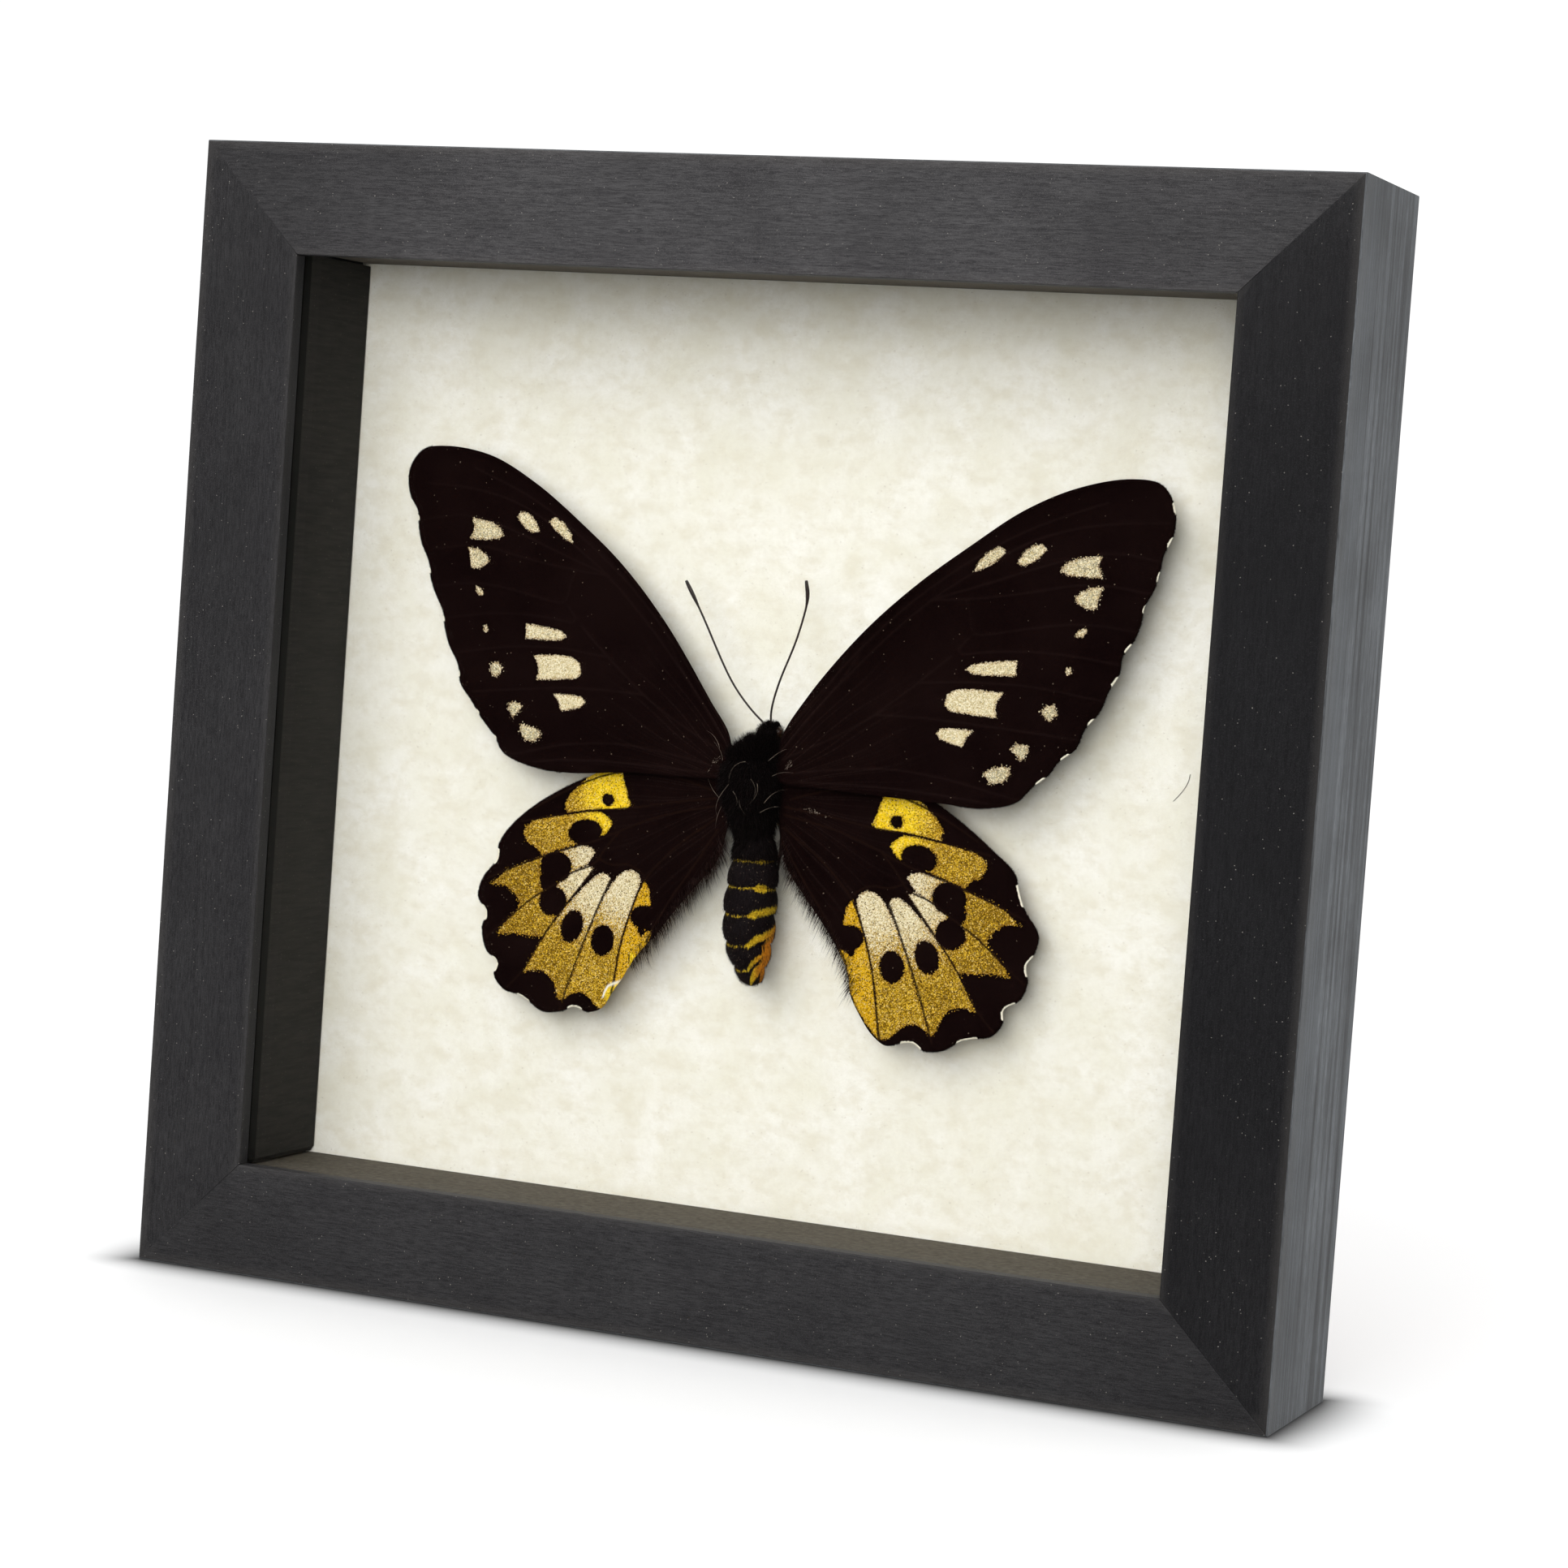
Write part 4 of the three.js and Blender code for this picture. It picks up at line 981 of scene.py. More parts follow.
def wing_scales(name, gold_veins):
    """Gold where the distance to a marking's edge, plus noise, plus dust, is positive, and brown-black
    elsewhere. Over both lie the veins, the crease and the white of the fringe. Every cell of the scatter
    is one scale, so first, second and third pick each scale's own shade."""
    finish = Finish(name, roughness=0.8)
    finish.set("Specular IOR Level", 0.01)
    first, second, third = finish.scatter(SCALES_PER_MM)[:3]
    grains = finish.noise(3.2, 2, 0.6)
    wobble = finish.maths("MULTIPLY", finish.maths("SUBTRACT", grains, 0.5), 0.5)
    jitter = finish.maths("MULTIPLY", finish.maths("SUBTRACT", first, 0.5), 0.3)
    spray = finish.maths("MULTIPLY", finish.maths("POWER", second, 7.0), finish.attribute("dust"))
    edge = finish.maths("ADD", finish.maths("ADD", finish.attribute("mark"), wobble), jitter)
    edge = finish.maths("ADD", edge, spray)
    marked = finish.between(edge, -0.02, 0.04)

    dark = finish.mix(finish.between(finish.noise(0.07, 3), 0.35, 0.68), paint(10, 3, 3), paint(18, 8, 7))
    dark = finish.mix(finish.between(third, 0.0, 1.0, 0, 0.3), dark, paint(26, 14, 12))
    # Painted sheen: paler brown streaks fanning out from the wing root.
    streak = finish.between(grains, 0.4, 0.7, 0.04, 0.24)
    streak = finish.maths("MULTIPLY", finish.attribute("streak"), streak)
    dark = finish.mix(streak, dark, paint(70, 54, 50))
    dark = finish.mix(finish.between(third, 0.9988, 0.9994, 0, 0.5), dark, paint(140, 124, 108))

    gold = finish.mix(first, paint(118, 82, 2), paint(226, 184, 54))
    orange = finish.mix(second, paint(176, 128, 4), paint(226, 178, 34))
    gold = finish.mix(finish.attribute("orange"), gold, orange)
    soft = finish.maths("MULTIPLY", finish.maths("SUBTRACT", third, 0.5), 0.9)
    yellow = finish.between(finish.maths("ADD", finish.attribute("yellow"), soft), 0.2, 0.8)
    gold = finish.mix(yellow, gold, finish.mix(first, paint(222, 178, 8), paint(252, 218, 44)))
    pale = finish.between(finish.maths("ADD", finish.attribute("pale"), soft), 0.2, 0.8)
    gold = finish.mix(pale, gold, finish.mix(first, paint(192, 172, 122), paint(244, 234, 204)))
    dusted = finish.between(finish.maths("SUBTRACT", second, finish.attribute("dust")), -0.02, 0.02, 0.8, 0)
    if gold_veins:
        gold = finish.mix(dusted, gold, finish.mix(first, paint(52, 32, 6), paint(112, 80, 18)))
    else:
        gold = finish.mix(dusted, gold, finish.mix(first, paint(112, 104, 84), paint(168, 160, 134)))
    burnt = finish.between(edge, 0.05, 0.45, 0.55, 0)
    gold = finish.mix(burnt, gold, paint(120, 78, 26))

    colour = finish.mix(marked, dark, gold)
    vein = finish.attribute("vein")
    if gold_veins:
        ragged = finish.maths("ADD", vein, finish.maths("MULTIPLY", jitter, 0.4))
        line = finish.between(ragged, 0.12, 0.3, 1, 0)
        colour = finish.mix(finish.maths("MULTIPLY", line, 0.9), colour, paint(26, 14, 10))
        colour = finish.mix(finish.attribute("crease"), colour, paint(232, 226, 210))
    else:
        line = finish.between(vein, 0.08, 0.36, 1, 0)
        colour = finish.mix(finish.maths("MULTIPLY", line, 0.06), colour, paint(70, 52, 48))
    fringe = finish.between(finish.maths("ADD", finish.attribute("fringe"), jitter), 0.42, 0.58)
    colour = finish.mix(fringe, colour, paint(244, 236, 214))
    finish.set("Base Color", colour)
    finish.set("Normal", finish.bump(finish.maths("ADD", first, grains), 0.03, 0.5))
    return finish.material


forewing_scales = wing_scales("forewing_scales", gold_veins=False)
hindwing_scales = wing_scales("hindwing_scales", gold_veins=True)
print("wing scales mixed")

# %% [markdown]
# ## The four wings
# Each wing is one closed skin: rings run out over the front, round the edge, and back over the rear. The
# rear carries the same markings, as on the real insect. The fringe is white only where the edge curves in,
# so those places are named for each wing.

# %% Wings
HANDS = {1: "right", -1: "left"}
RIM_POINTS = 520
WHITE_FRINGES = {
    ("forewing", 1): [(78.7, 160.3), (78.4, 153.9), (76.9, 147.6), (74.9, 141.5), (72, 134.2), (69.9, 128),
                      (66.2, 120), (61.5, 113.4), (57, 108.8)],
    ("forewing", -1): [(75.6, 149), (72.2, 139), (68.4, 129.8), (64.2, 119.4), (59.6, 112.2), (55.4, 107.6)],
    ("hindwing", 1): [(53.7, 87.3), (56.1, 74.7), (52.7, 66.2), (45.6, 59.9), (34.8, 57.8)],
    ("hindwing", -1): [(54.2, 84.4), (56.1, 73.3), (53, 63.6), (46.4, 57.6), (35, 57)],
}
FRINGE_REACH = {("forewing", 1): 1.1, ("forewing", -1): 0.6, ("hindwing", 1): 2.2, ("hindwing", -1): 1.6}
# The torn corner of the left hindwing: its folded flap, and the pale crease along it.
FOLD_FLAP = [
    (24, 69), (23.9, 65.6), (25.5, 62.9), (28.3, 61.8), (29, 60), (28.2, 58.6), (26.6, 60.6),
    (24.8, 63.6), (22.4, 68),
]
FOLD_CREASE = [(23.6, 66), (24.2, 64.6), (25.4, 63), (27, 62.4), (28.2, 61.8), (28.8, 60.6), (29.1, 59.6)]
FOLD_RISE = 0.5
# The thick front edge of a forewing: how far it reaches in, how high it stands, and its middle and width.
LEADING_REACH = 1.2
LEADING_HEIGHT = 0.22
LEADING_MIDDLE = 0.45
RIM_WIDTH = 0.5
FRINGE_BAND = 0.32
DISTANCE_SLICES = 24


def rim_distance(points, rim):
    """Distance to the nearest point of the rim, worked out in slices to keep the arrays small."""
    slices = np.array_split(points, DISTANCE_SLICES)
    return np.concatenate([place_distance(part, rim) for part in slices])


def place_distance(points, places):
    """Distance from each point to the nearest of some places."""
    return np.hypot(*(points[:, None] - places[None]).transpose(2, 0, 1)).min(1)


def fan(outline, centre, rings):
    """Places at centre + share * (rim - centre), for shares from near 0 to 1."""
    rim = closed_curve(outline, RIM_POINTS)
    shares = np.linspace(0, 1, rings + 1)[1:]
    return rim, centre + shares[:, None, None] * (rim - centre)


def wing_streaks(points):
    """Painted sheen in streaks that fan out from the root: bands of the angle about the root, fading
    outwards.
    """
    angle = np.arctan2(points[:, 1] - WING_ROOT[1], points[:, 0] - WING_ROOT[0])
    reach = np.hypot(points[:, 0] - WING_ROOT[0], points[:, 1] - WING_ROOT[1])
    wander = angle + 0.02 * np.sin(reach * 0.21 + angle * 9)
    bands = np.sin(wander * 61) * np.sin(wander * 37 + 1.3) * np.sin(wander * 143 + 0.4)
    return np.clip(bands * 1.6, 0, 1) * np.clip((40 - reach) / 30, 0, 1) * np.clip((reach - 5) / 6, 0, 1)


def folded_corner(points, attributes):
    """The flap shows bright yellow scales, and its crease is rubbed white."""
    flap = outline_distance(points, FOLD_FLAP)
    crease = path_distance(points, FOLD_CREASE)
    on_flap = flap > 0
    return {
        "mark": np.where(on_flap, np.maximum(flap, attributes["mark"]), attributes["mark"]),
        "yellow": np.where(on_flap, 1.0, attributes["yellow"]),
        "dust": np.where(on_flap, 0.1, attributes["dust"]),
        "crease": np.clip((0.3 - crease) / 0.15, 0, 1),
    }


def leading_edge(kind, flat, to_rim):
    """How far the front edge stands up: a bell curve of the distance to the rim, on forewings only, and
    only above a slanting line, where the rim is the front one."""
    if kind != "forewing":
        return 0.0
    leading = (to_rim < LEADING_REACH) & (flat[:, 1] > 1.02 * flat[:, 0] + 93)
    bell = np.exp(-(((to_rim - LEADING_MIDDLE) / LEADING_MIDDLE) ** 2))
    return np.where(leading, LEADING_HEIGHT * bell, 0)


def wing(kind, side, outline, centre, lift, veins, markings, material, slot, front_rings, rear_rings):
    """Depth of a skin point = the wing's middle surface + the sinking between veins, plus or minus half
    the membrane, the veins' bell curves and the front edge. Adds the wing and returns its rim."""
    rim, front = fan(outline, centre, front_rings)
    _, rear = fan(outline, centre, rear_rings)
    rear = rear[::-1]
    flat = np.concatenate([front.reshape(-1, 2), rear.reshape(-1, 2)])
    is_rear = np.arange(len(flat)) >= front.shape[0] * RIM_POINTS
    flat = np.vstack([flat, front[0].mean(0), rear[-1].mean(0)])
    is_rear = np.append(is_rear, [False, True])
    pattern = right_hand_place(flat, kind, side)
    vein = vein_distance(pattern, veins)
    to_rim = rim_distance(flat, rim)
    ridge = VEIN_HEIGHT * np.exp(-((vein / VEIN_WIDTH) ** 2))
    sink = SINK_DEPTH * (1 - np.exp(-((vein / SINK_WIDTH) ** 2))) * np.clip(to_rim / 3, 0, 1)
    edge = leading_edge(kind, flat, to_rim)
    thickness = MEMBRANE * np.clip(to_rim / RIM_WIDTH + 0.3, 0, 1)
    depth = wing_depth(flat, lift) + sink
    if (kind, side) == ("hindwing", -1):
        depth = depth - FOLD_RISE * np.clip(outline_distance(flat, FOLD_FLAP) / 0.9, 0, 1)
    depth = depth + np.where(is_rear, 1, -1) * (thickness / 2 + ridge * np.where(is_rear, 0.6, 1) + edge)
    points = np.stack([side * flat[:, 0], WING_PLANE + depth, flat[:, 1]], axis=1)
    around = (front.shape[0] + rear.shape[0]) * RIM_POINTS
    skinned, faces = skin(points[:around].reshape(-1, RIM_POINTS, 3))
    skinned[-2:] = points[-2:]
    white = WHITE_FRINGES[kind, side]
    near_white = np.min([np.hypot(*(flat - np.array(place)).T) for place in white], axis=0)
    reach = FRINGE_REACH[kind, side]
    fringe = np.clip((reach - near_white) / 0.5 + 0.5, 0, 1)
    fringe = fringe * np.clip((FRINGE_BAND - to_rim) / 0.2 + 0.5, 0, 1)
    attributes = markings(pattern)
    if (kind, side) == ("hindwing", -1):
        attributes.update(folded_corner(flat, attributes))
    attributes.update(vein=vein, fringe=fringe, streak=wing_streaks(flat))
    name = f"{kind}_{HANDS[side]}"
    add_piece(name + "_wing", skinned, faces, material, replaces=[name], attributes=attributes)
    return rim


WINGS = {
    "forewing": dict(
        centre=FOREWING_CENTRE, lift=FOREWING_LIFT, veins=FOREWING_VEINS, markings=forewing_markings,
        material=forewing_scales, slot="forewing_scales", front_rings=150, rear_rings=24,
    ),
    "hindwing": dict(
        centre=HINDWING_CENTRE, lift=HINDWING_LIFT, veins=HINDWING_VEINS, markings=hindwing_markings,
        material=hindwing_scales, slot="hindwing_scales", front_rings=120, rear_rings=24,
    ),
}
OUTLINES = {
    ("forewing", 1): FOREWING_RIGHT, ("forewing", -1): FOREWING_LEFT,
    ("hindwing", 1): HINDWING_RIGHT, ("hindwing", -1): HINDWING_LEFT,
}
rims = {}
for (kind, side), outline in OUTLINES.items():
    rims[kind, side] = wing(kind, side, outline, **WINGS[kind])

# %% [markdown]
# ## Hairs
# Fur, fringes and eyelash-like scales are all thin tapering blades. Particle hair is not kept when a model
# is exported, so each blade is real mesh: two points at the root, two in the middle and one at the tip.
# All blades of one kind are worked out at once as arrays and joined in one piece.

# %% Hair maker
rng = np.random.default_rng(7)


def blades(roots, directions, lengths, widths, droop, jitter):
    """Points and faces of many blades. A blade's middle is half its length along its direction, its tip
    a whole length along the direction plus the droop, and its width lies square to both."""
    count = len(roots)
    directions = directions + jitter * rng.normal(size=(count, 3))
    directions /= np.linalg.norm(directions, axis=1)[:, None]
    sideways = np.cross(directions, rng.normal(size=(count, 3)))
    sideways /= np.linalg.norm(sideways, axis=1)[:, None]
    half = sideways * (np.broadcast_to(widths, count) / 2)[:, None]
    length = np.broadcast_to(lengths, count)[:, None]
    middle = roots + directions * length * 0.5
    tip = roots + directions * length + np.array([0, 0, -1]) * length * droop
    points = np.stack([roots - half, roots + half, middle - half * 0.8, middle + half * 0.8, tip], axis=1)
    first = np.arange(count)[:, None] * 5
    quads = (first + np.array([0, 1, 3, 2])).tolist()
    tips = (first + np.array([2, 3, 4])).tolist()
    return points.reshape(-1, 3), quads + tips


def hair_finish(name, colour, tip_colour):
    """Two shades in soft patches over the whole coat, with a slight sheen."""
    finish = Finish(name, roughness=0.5)
    finish.set("Specular IOR Level", 0.06)
    blend = finish.between(finish.noise(1.6, 2), 0.35, 0.7)
    finish.set("Base Color", finish.mix(blend, colour, tip_colour))
    finish.set("Normal", finish.bump(finish.noise(12, 1), 0.02, 0.4))
    return finish.material


black_fur = hair_finish("black_fur", paint(7, 4, 4), paint(18, 12, 11))
brown_hair = hair_finish("brown_hair", paint(18, 9, 8), paint(44, 28, 24))
pale_hair = hair_finish("pale_hair", paint(96, 84, 74), paint(168, 154, 138))
white_fringe = hair_finish("white_fringe", paint(226, 220, 204), paint(244, 240, 228))
print("hair finishes mixed")

# %% [markdown]
# ## The body
# The head, thorax and abdomen are lofted skins: elliptical rings stacked from tail to head. The abdomen is
# ringed, each segment's rear edge standing over the next one. Its markings use the same trick as the
# wings: each point stores its distance to a yellow band, and the bands widen round the right-hand side,
# where the specimen shows its flank.

# %% Body sections
# Height z, middle x, half width and half depth of the thorax.
THORAX_SECTIONS = [
    (92.6, 0.5, 1.4, 1.6), (93.2, 0.5, 2.3, 2.6), (94.6, 0.4, 2.9, 3.4), (96.8, 0.2, 3.4, 4.1),
    (99, -0.3, 4.4, 5), (102.5, -0.8, 5.5, 5.8), (106, -0.8, 5.5, 5.6), (108.4, -0.1, 4.6, 4.9),
    (109.8, 0.7, 3.6, 4.1), (110.7, 1.2, 2.9, 3.2), (111.2, 1.4, 1.8, 2),
]
ABDOMEN_TOP = 94.2
ABDOMEN_TIP = 65.2
ABDOMEN_EDGES = [94.2, 89.2, 84.2, 79, 73.6, 69, 65.2]
ABDOMEN_STEP = 0.3
ABDOMEN_FLATNESS = 0.96
ABDOMEN_AXIS = [(94.2, 0.8), (88, 1.1), (83, 0.9), (79, 0.8), (73, 1.0), (69, 1.5), (65.2, 2.2)]
ABDOMEN_HALF_WIDTHS = [3.2, 3.8, 4.4, 4.7, 4.85, 4.9, 4.7, 4.1, 3.0, 1.3]
# Yellow bands of the abdomen: height in front, the angle in degrees where a band leaves the hairline and
# widens, how far it rises by 60 degrees further round, its half width there, and where it ends.
ABDOMEN_BANDS = [
    (89, 30, 0.2, 0.3, 60), (84.1, 28, -0.4, 0.7, 66), (79, 22, 0.9, 0.75, 110), (73.5, 20, 2.2, 0.8, 150),
    (69, 16, 3.2, 0.6, 150), (65.8, 14, 3.8, 1.3, 170),
]
HAIRLINE = 0.08
# The flank's orange field: its middle angle and half width in degrees, its middle height and half height.
FLANK_FIELD = (88, 26, 70.5, 4.8)


def loft(z, x, half_width, half_depth, sides):
    """Rings at height z, at x + half width times cosine and the specimen's plane + half depth times sine."""
    angle = np.linspace(0, 2 * np.pi, sides, endpoint=False)[None, :]
    z, x, half_width, half_depth = (np.asarray(v, float)[:, None] for v in (z, x, half_width, half_depth))
    across = x + half_width * np.cos(angle)
    deep = WING_PLANE + half_depth * np.sin(angle)
    return np.stack([across, deep, z + 0 * angle], axis=2)


def thorax_rings(rows=60, sides=72):
    """The sections at even steps, each number then averaged six times with its neighbours, and the skin
    pushed out by a product of sines so that it is a little lumpy."""
    sections = even_steps(THORAX_SECTIONS, rows)
    weights = (0.25, 0.5, 0.25)
    for _ in range(6):
        parts = [weight * sections[k : len(sections) - 2 + k] for k, weight in enumerate(weights)]
        sections[1:-1] = sum(parts)
    rings = loft(*sections.T, sides)
    lumps = 0.25 * np.sin(rings[..., 0] * 1.1 + rings[..., 2] * 0.7) * np.sin(rings[..., 2] * 0.9)
    middle = rings.mean(1, keepdims=True)
    outward = rings - middle
    return middle + outward * (1 + lumps[..., None] * 0.06)


def abdomen_shape(rows=180, sides=120):
    """The half width is a smooth curve of the share of the length, less a step that eases out towards each
    segment's rear edge, plus a swelling in the segment's middle."""
    share = np.linspace(0, 1, rows)
    z = ABDOMEN_TOP - share * (ABDOMEN_TOP - ABDOMEN_TIP)
    outline = np.interp(share, np.linspace(0, 1, len(ABDOMEN_HALF_WIDTHS)), ABDOMEN_HALF_WIDTHS)
    kernel = np.hanning(21) / np.hanning(21).sum()
    outline = np.convolve(np.pad(outline, 10, mode="edge"), kernel, mode="valid")
    within = np.interp(-z, -np.array(ABDOMEN_EDGES), np.arange(len(ABDOMEN_EDGES))) % 1
    step = ABDOMEN_STEP * (1 - np.clip((within - 0.08) / 0.7, 0, 1) ** 0.7)
    swell = 0.36 * np.sin(np.pi * within)
    half = np.maximum(0.35, outline - step + swell)
    half[-5:] *= np.array([0.93, 0.84, 0.7, 0.48, 0.2])
    axis = np.interp(-z, [-place[0] for place in ABDOMEN_AXIS], [place[1] for place in ABDOMEN_AXIS])
    axis = np.convolve(np.pad(axis, 10, mode="edge"), kernel, mode="valid")
    return loft(z, axis, half, half * ABDOMEN_FLATNESS, sides)


def abdomen_bands(rings):
    """band = the largest of half width - distance to a band's middle, over the bands. A band's middle
    height = its height in front + its rise times how far round the flank the point is. warm says how far
    the lowest bands have turned from yellow to orange."""
    middle = rings[..., 0].mean(1, keepdims=True)
    angle = np.degrees(np.arctan2(rings[..., 0] - middle, WING_PLANE - rings[..., 1]))
    z = rings[..., 2]
    best = np.full(z.shape, -9.0)
    for height, start, rise, half_width, end in ABDOMEN_BANDS:
        round_flank = np.clip((angle - start) / 60, 0, 1.5)
        flank = np.clip((angle - start + 6) / 16, 0, 1) * np.clip((end - angle) / 12, 0, 1)
        sag = (0.35 + 0.05 * (84 - height)) * np.cos(np.radians(np.clip(angle + 20, -60, 60) * 1.5))
        height_here = height - sag + rise * round_flank
        best = np.maximum(best, HAIRLINE + (half_width - HAIRLINE) * flank - np.abs(z - height_here))
    middle_angle, half_angle, middle_z, half_z = FLANK_FIELD
    field = 1 - np.hypot((angle - middle_angle) / half_angle, (z - middle_z) / half_z)
    best = np.maximum(best, field * 1.4)
    warm = np.clip((angle - 28) / 40, 0, 1) * np.clip((76.5 - z + (angle - 60) / 14) / 4, 0, 1)
    return {"band": best.ravel(), "warm": warm.ravel()}


def abdomen_finish():
    """Yellow, or orange where warm, where the band's distance plus a ragged noise is positive, and black
    with a grey bloom elsewhere."""
    finish = Finish("abdomen_skin", roughness=0.75)
    finish.set("Specular IOR Level", 0.06)
    first, second, third = finish.scatter(6)[:3]
    fuzz = finish.stretched(3, 0.6, (3.2, 3.2, 0.9))
    ragged = finish.maths("MULTIPLY", finish.maths("SUBTRACT", fuzz, 0.5), 1.9)
    single = finish.maths("MULTIPLY", finish.maths("SUBTRACT", first, 0.5), 0.25)
    ragged = finish.maths("ADD", ragged, single)
    band = finish.between(finish.maths("ADD", finish.attribute("band"), ragged), -0.12, 0.3)
    dark = finish.mix(second, paint(6, 4, 5), paint(22, 17, 18))
    dark = finish.mix(finish.between(fuzz, 0.5, 0.75, 0, 0.5), dark, paint(40, 35, 36))
    dark = finish.mix(finish.between(third, 0.985, 0.99, 0, 0.5), dark, paint(120, 104, 88))
    yellow = finish.mix(first, paint(168, 128, 6), paint(234, 200, 52))
    yellow = finish.mix(finish.between(fuzz, 0.45, 0.7, 0, 0.35), yellow, paint(96, 70, 12))
    orange = finish.mix(first, paint(190, 108, 16), paint(232, 150, 40))
    yellow = finish.mix(finish.attribute("warm"), yellow, orange)
    finish.set("Base Color", finish.mix(band, dark, yellow))
    finish.set("Normal", finish.bump(finish.maths("ADD", fuzz, first), 0.06, 0.6))
    return finish.material


def horn_finish():
    """Black-brown horn with soft patches under a thin gloss."""
    finish = Finish("black_horn", roughness=0.4, Coat_Weight=0.2, Coat_Roughness=0.2)
    shade = finish.between(finish.noise(1.2, 3), 0.3, 0.7)
    finish.set("Base Color", finish.mix(shade, paint(22, 17, 15), paint(52, 38, 32)))
    finish.set("Normal", finish.bump(finish.noise(9, 2), 0.02, 0.5))
    return finish.material


thorax_skin = thorax_rings()
points, faces = skin(thorax_skin)
add_piece("thorax_fur_skin", points, faces, black_fur, replaces=["thorax"])
abdomen_rings = abdomen_shape()
points, faces = skin(abdomen_rings)
bands = {key: np.append(values, values[[0, -1]]) for key, values in abdomen_bands(abdomen_rings).items()}
add_piece(
    "abdomen_ringed",
    points,
    faces,
    abdomen_finish(),
    replaces=["abdomen"],
    attributes=bands,
)

# %% [markdown]
# ## The head
# The head is small beside the wings: a furry ball with two big compound eyes, two bristly palps in front,
# and a coiled tongue between them. The eyes are smooth domes with a fine facet texture.

# %% Head
HEAD_MIDDLE = np.array([2.4, WING_PLANE, 112.9])
HEAD_HALF_SIZES = np.array([1.05, 1, 0.95]) * 2.1
EYE_HALF_SIZES = np.array([0.88, 1.12, 1.18]) * 1.15
EYE_SPREAD = 1.6
POLE_GAP = 0.06
TONGUE_TURNS = 2.4
TONGUE_REACH = 0.85
TONGUE_RADIUS = 0.12


def globe(middle, half, rows=28, sides=36):
    """An ellipsoid: rings at polar angle a have radius sine of a, and lie at cosine of a along Z."""
    polar = np.linspace(POLE_GAP, np.pi - POLE_GAP, rows)[:, None]
    angle = np.linspace(0, 2 * np.pi, sides, endpoint=False)[None, :]
    ring = np.sin(polar)
    unit = np.stack([ring * np.cos(angle), ring * np.sin(angle), np.cos(polar) + 0 * angle], axis=2)
    return np.asarray(middle) + unit * np.asarray(half)


def joined(parts):
    """Several points-and-faces pairs as one."""
    points, faces, start = [], [], 0
    for part_points, part_faces in parts:
        points.append(part_points)
        faces += [[corner + start for corner in face] for face in part_faces]
        start += len(part_points)
    return np.vstack(points), faces


def eye_finish():
    """Glossy dark brown in two soft shades, with facets nine to the millimetre."""
    finish = Finish("compound_eye", roughness=0.22, Coat_Weight=0.6, Coat_Roughness=0.1)
    facets = finish.cells(9)
    shade = finish.between(finish.noise(0.8, 2), 0.35, 0.65)
    finish.set("Base Color", finish.mix(shade, paint(30, 18, 13), paint(58, 34, 22)))
    finish.set("Normal", finish.bump(facets, 0.03, 0.6))
    return finish.material


def coil():
    """The tongue: a flat spiral in the plane x = the head's middle, its radius shrinking by turns."""
    turns = np.linspace(0, TONGUE_TURNS * 2 * np.pi, 70)
    radius = TONGUE_REACH - 0.25 * turns / (2 * np.pi)
    y = HEAD_MIDDLE[1] + 2.0 + radius * np.cos(turns)
    z = HEAD_MIDDLE[2] + 1.4 + radius * np.sin(turns)
    path = np.stack([np.full_like(y, HEAD_MIDDLE[0]) + 0.02 * turns, y, z], axis=1)
    ahead = np.gradient(path, axis=0)
    ahead /= np.linalg.norm(ahead, axis=1)[:, None]
    across = np.broadcast_to([1.0, 0, 0], path.shape)
    angle = np.linspace(0, 2 * np.pi, 8, endpoint=False)
    return path[:, None] + TONGUE_RADIUS * circle(across, np.cross(across, ahead), angle)


head_skin = globe(HEAD_MIDDLE, HEAD_HALF_SIZES)
palps = [
    skin(globe(HEAD_MIDDLE + (hand * 0.8, 1.2, 1.7), (0.6, 0.6, 0.9), 16, 20)) for hand in (-1, 1)
]
points, faces = joined([skin(head_skin), *palps])
add_piece("head_fur_skin", points, faces, black_fur, replaces=["head"])
eyes = [skin(globe(HEAD_MIDDLE + (hand * EYE_SPREAD, 0.2, 0.4), EYE_HALF_SIZES)) for hand in (-1, 1)]
points, faces = joined(eyes)
add_piece("eyes", points, faces, eye_finish())
horn = horn_finish()
points, faces = skin(coil())
add_piece("coiled_tongue", points, faces, horn)

# %% [markdown]
# ## Antennae and legs
# An antenna is a thin stalk of short rings that thickens to a club. A leg has a thigh, a shin and a foot of
# small joints. Both are tubes along a smooth path, with a radius that is a formula of the place along it.

# %% Antennae and legs
ANTENNAE = {
    "right": [
        (2.6, 115.2), (2.6, 118), (4, 123.3), (6.6, 129.8), (8, 134.5), (9, 139), (8.4, 142.4),
    ],
    "left": [
        (1, 115.2), (-1.6, 117.4), (-5, 121.2), (-7.7, 125.5), (-12, 133.5), (-14, 137), (-16.2, 140.7),
    ],
}
ANTENNA_LIFT = 0.6
ANTENNA_RISE = 0.25
STALK_RADIUS = 0.2
CLUB_START = 0.83
STALK_RINGS = 44
LEGS = {
    "front": [(2.2, 5, 106.4), (4.2, 6.6, 107.6), (3.2, 7.9, 109.6), (2.6, 8.2, 111.6)],
    "middle": [(2.6, 5.4, 102), (5.6, 7, 101), (5.8, 8, 97.4), (4.2, 8.2, 93.4)],
    "rear": [(2.2, 5, 98.4), (3.8, 6.8, 95), (3.4, 7.8, 89.6), (2.4, 8.1, 84.2)],
}
LEGS_X = -0.4


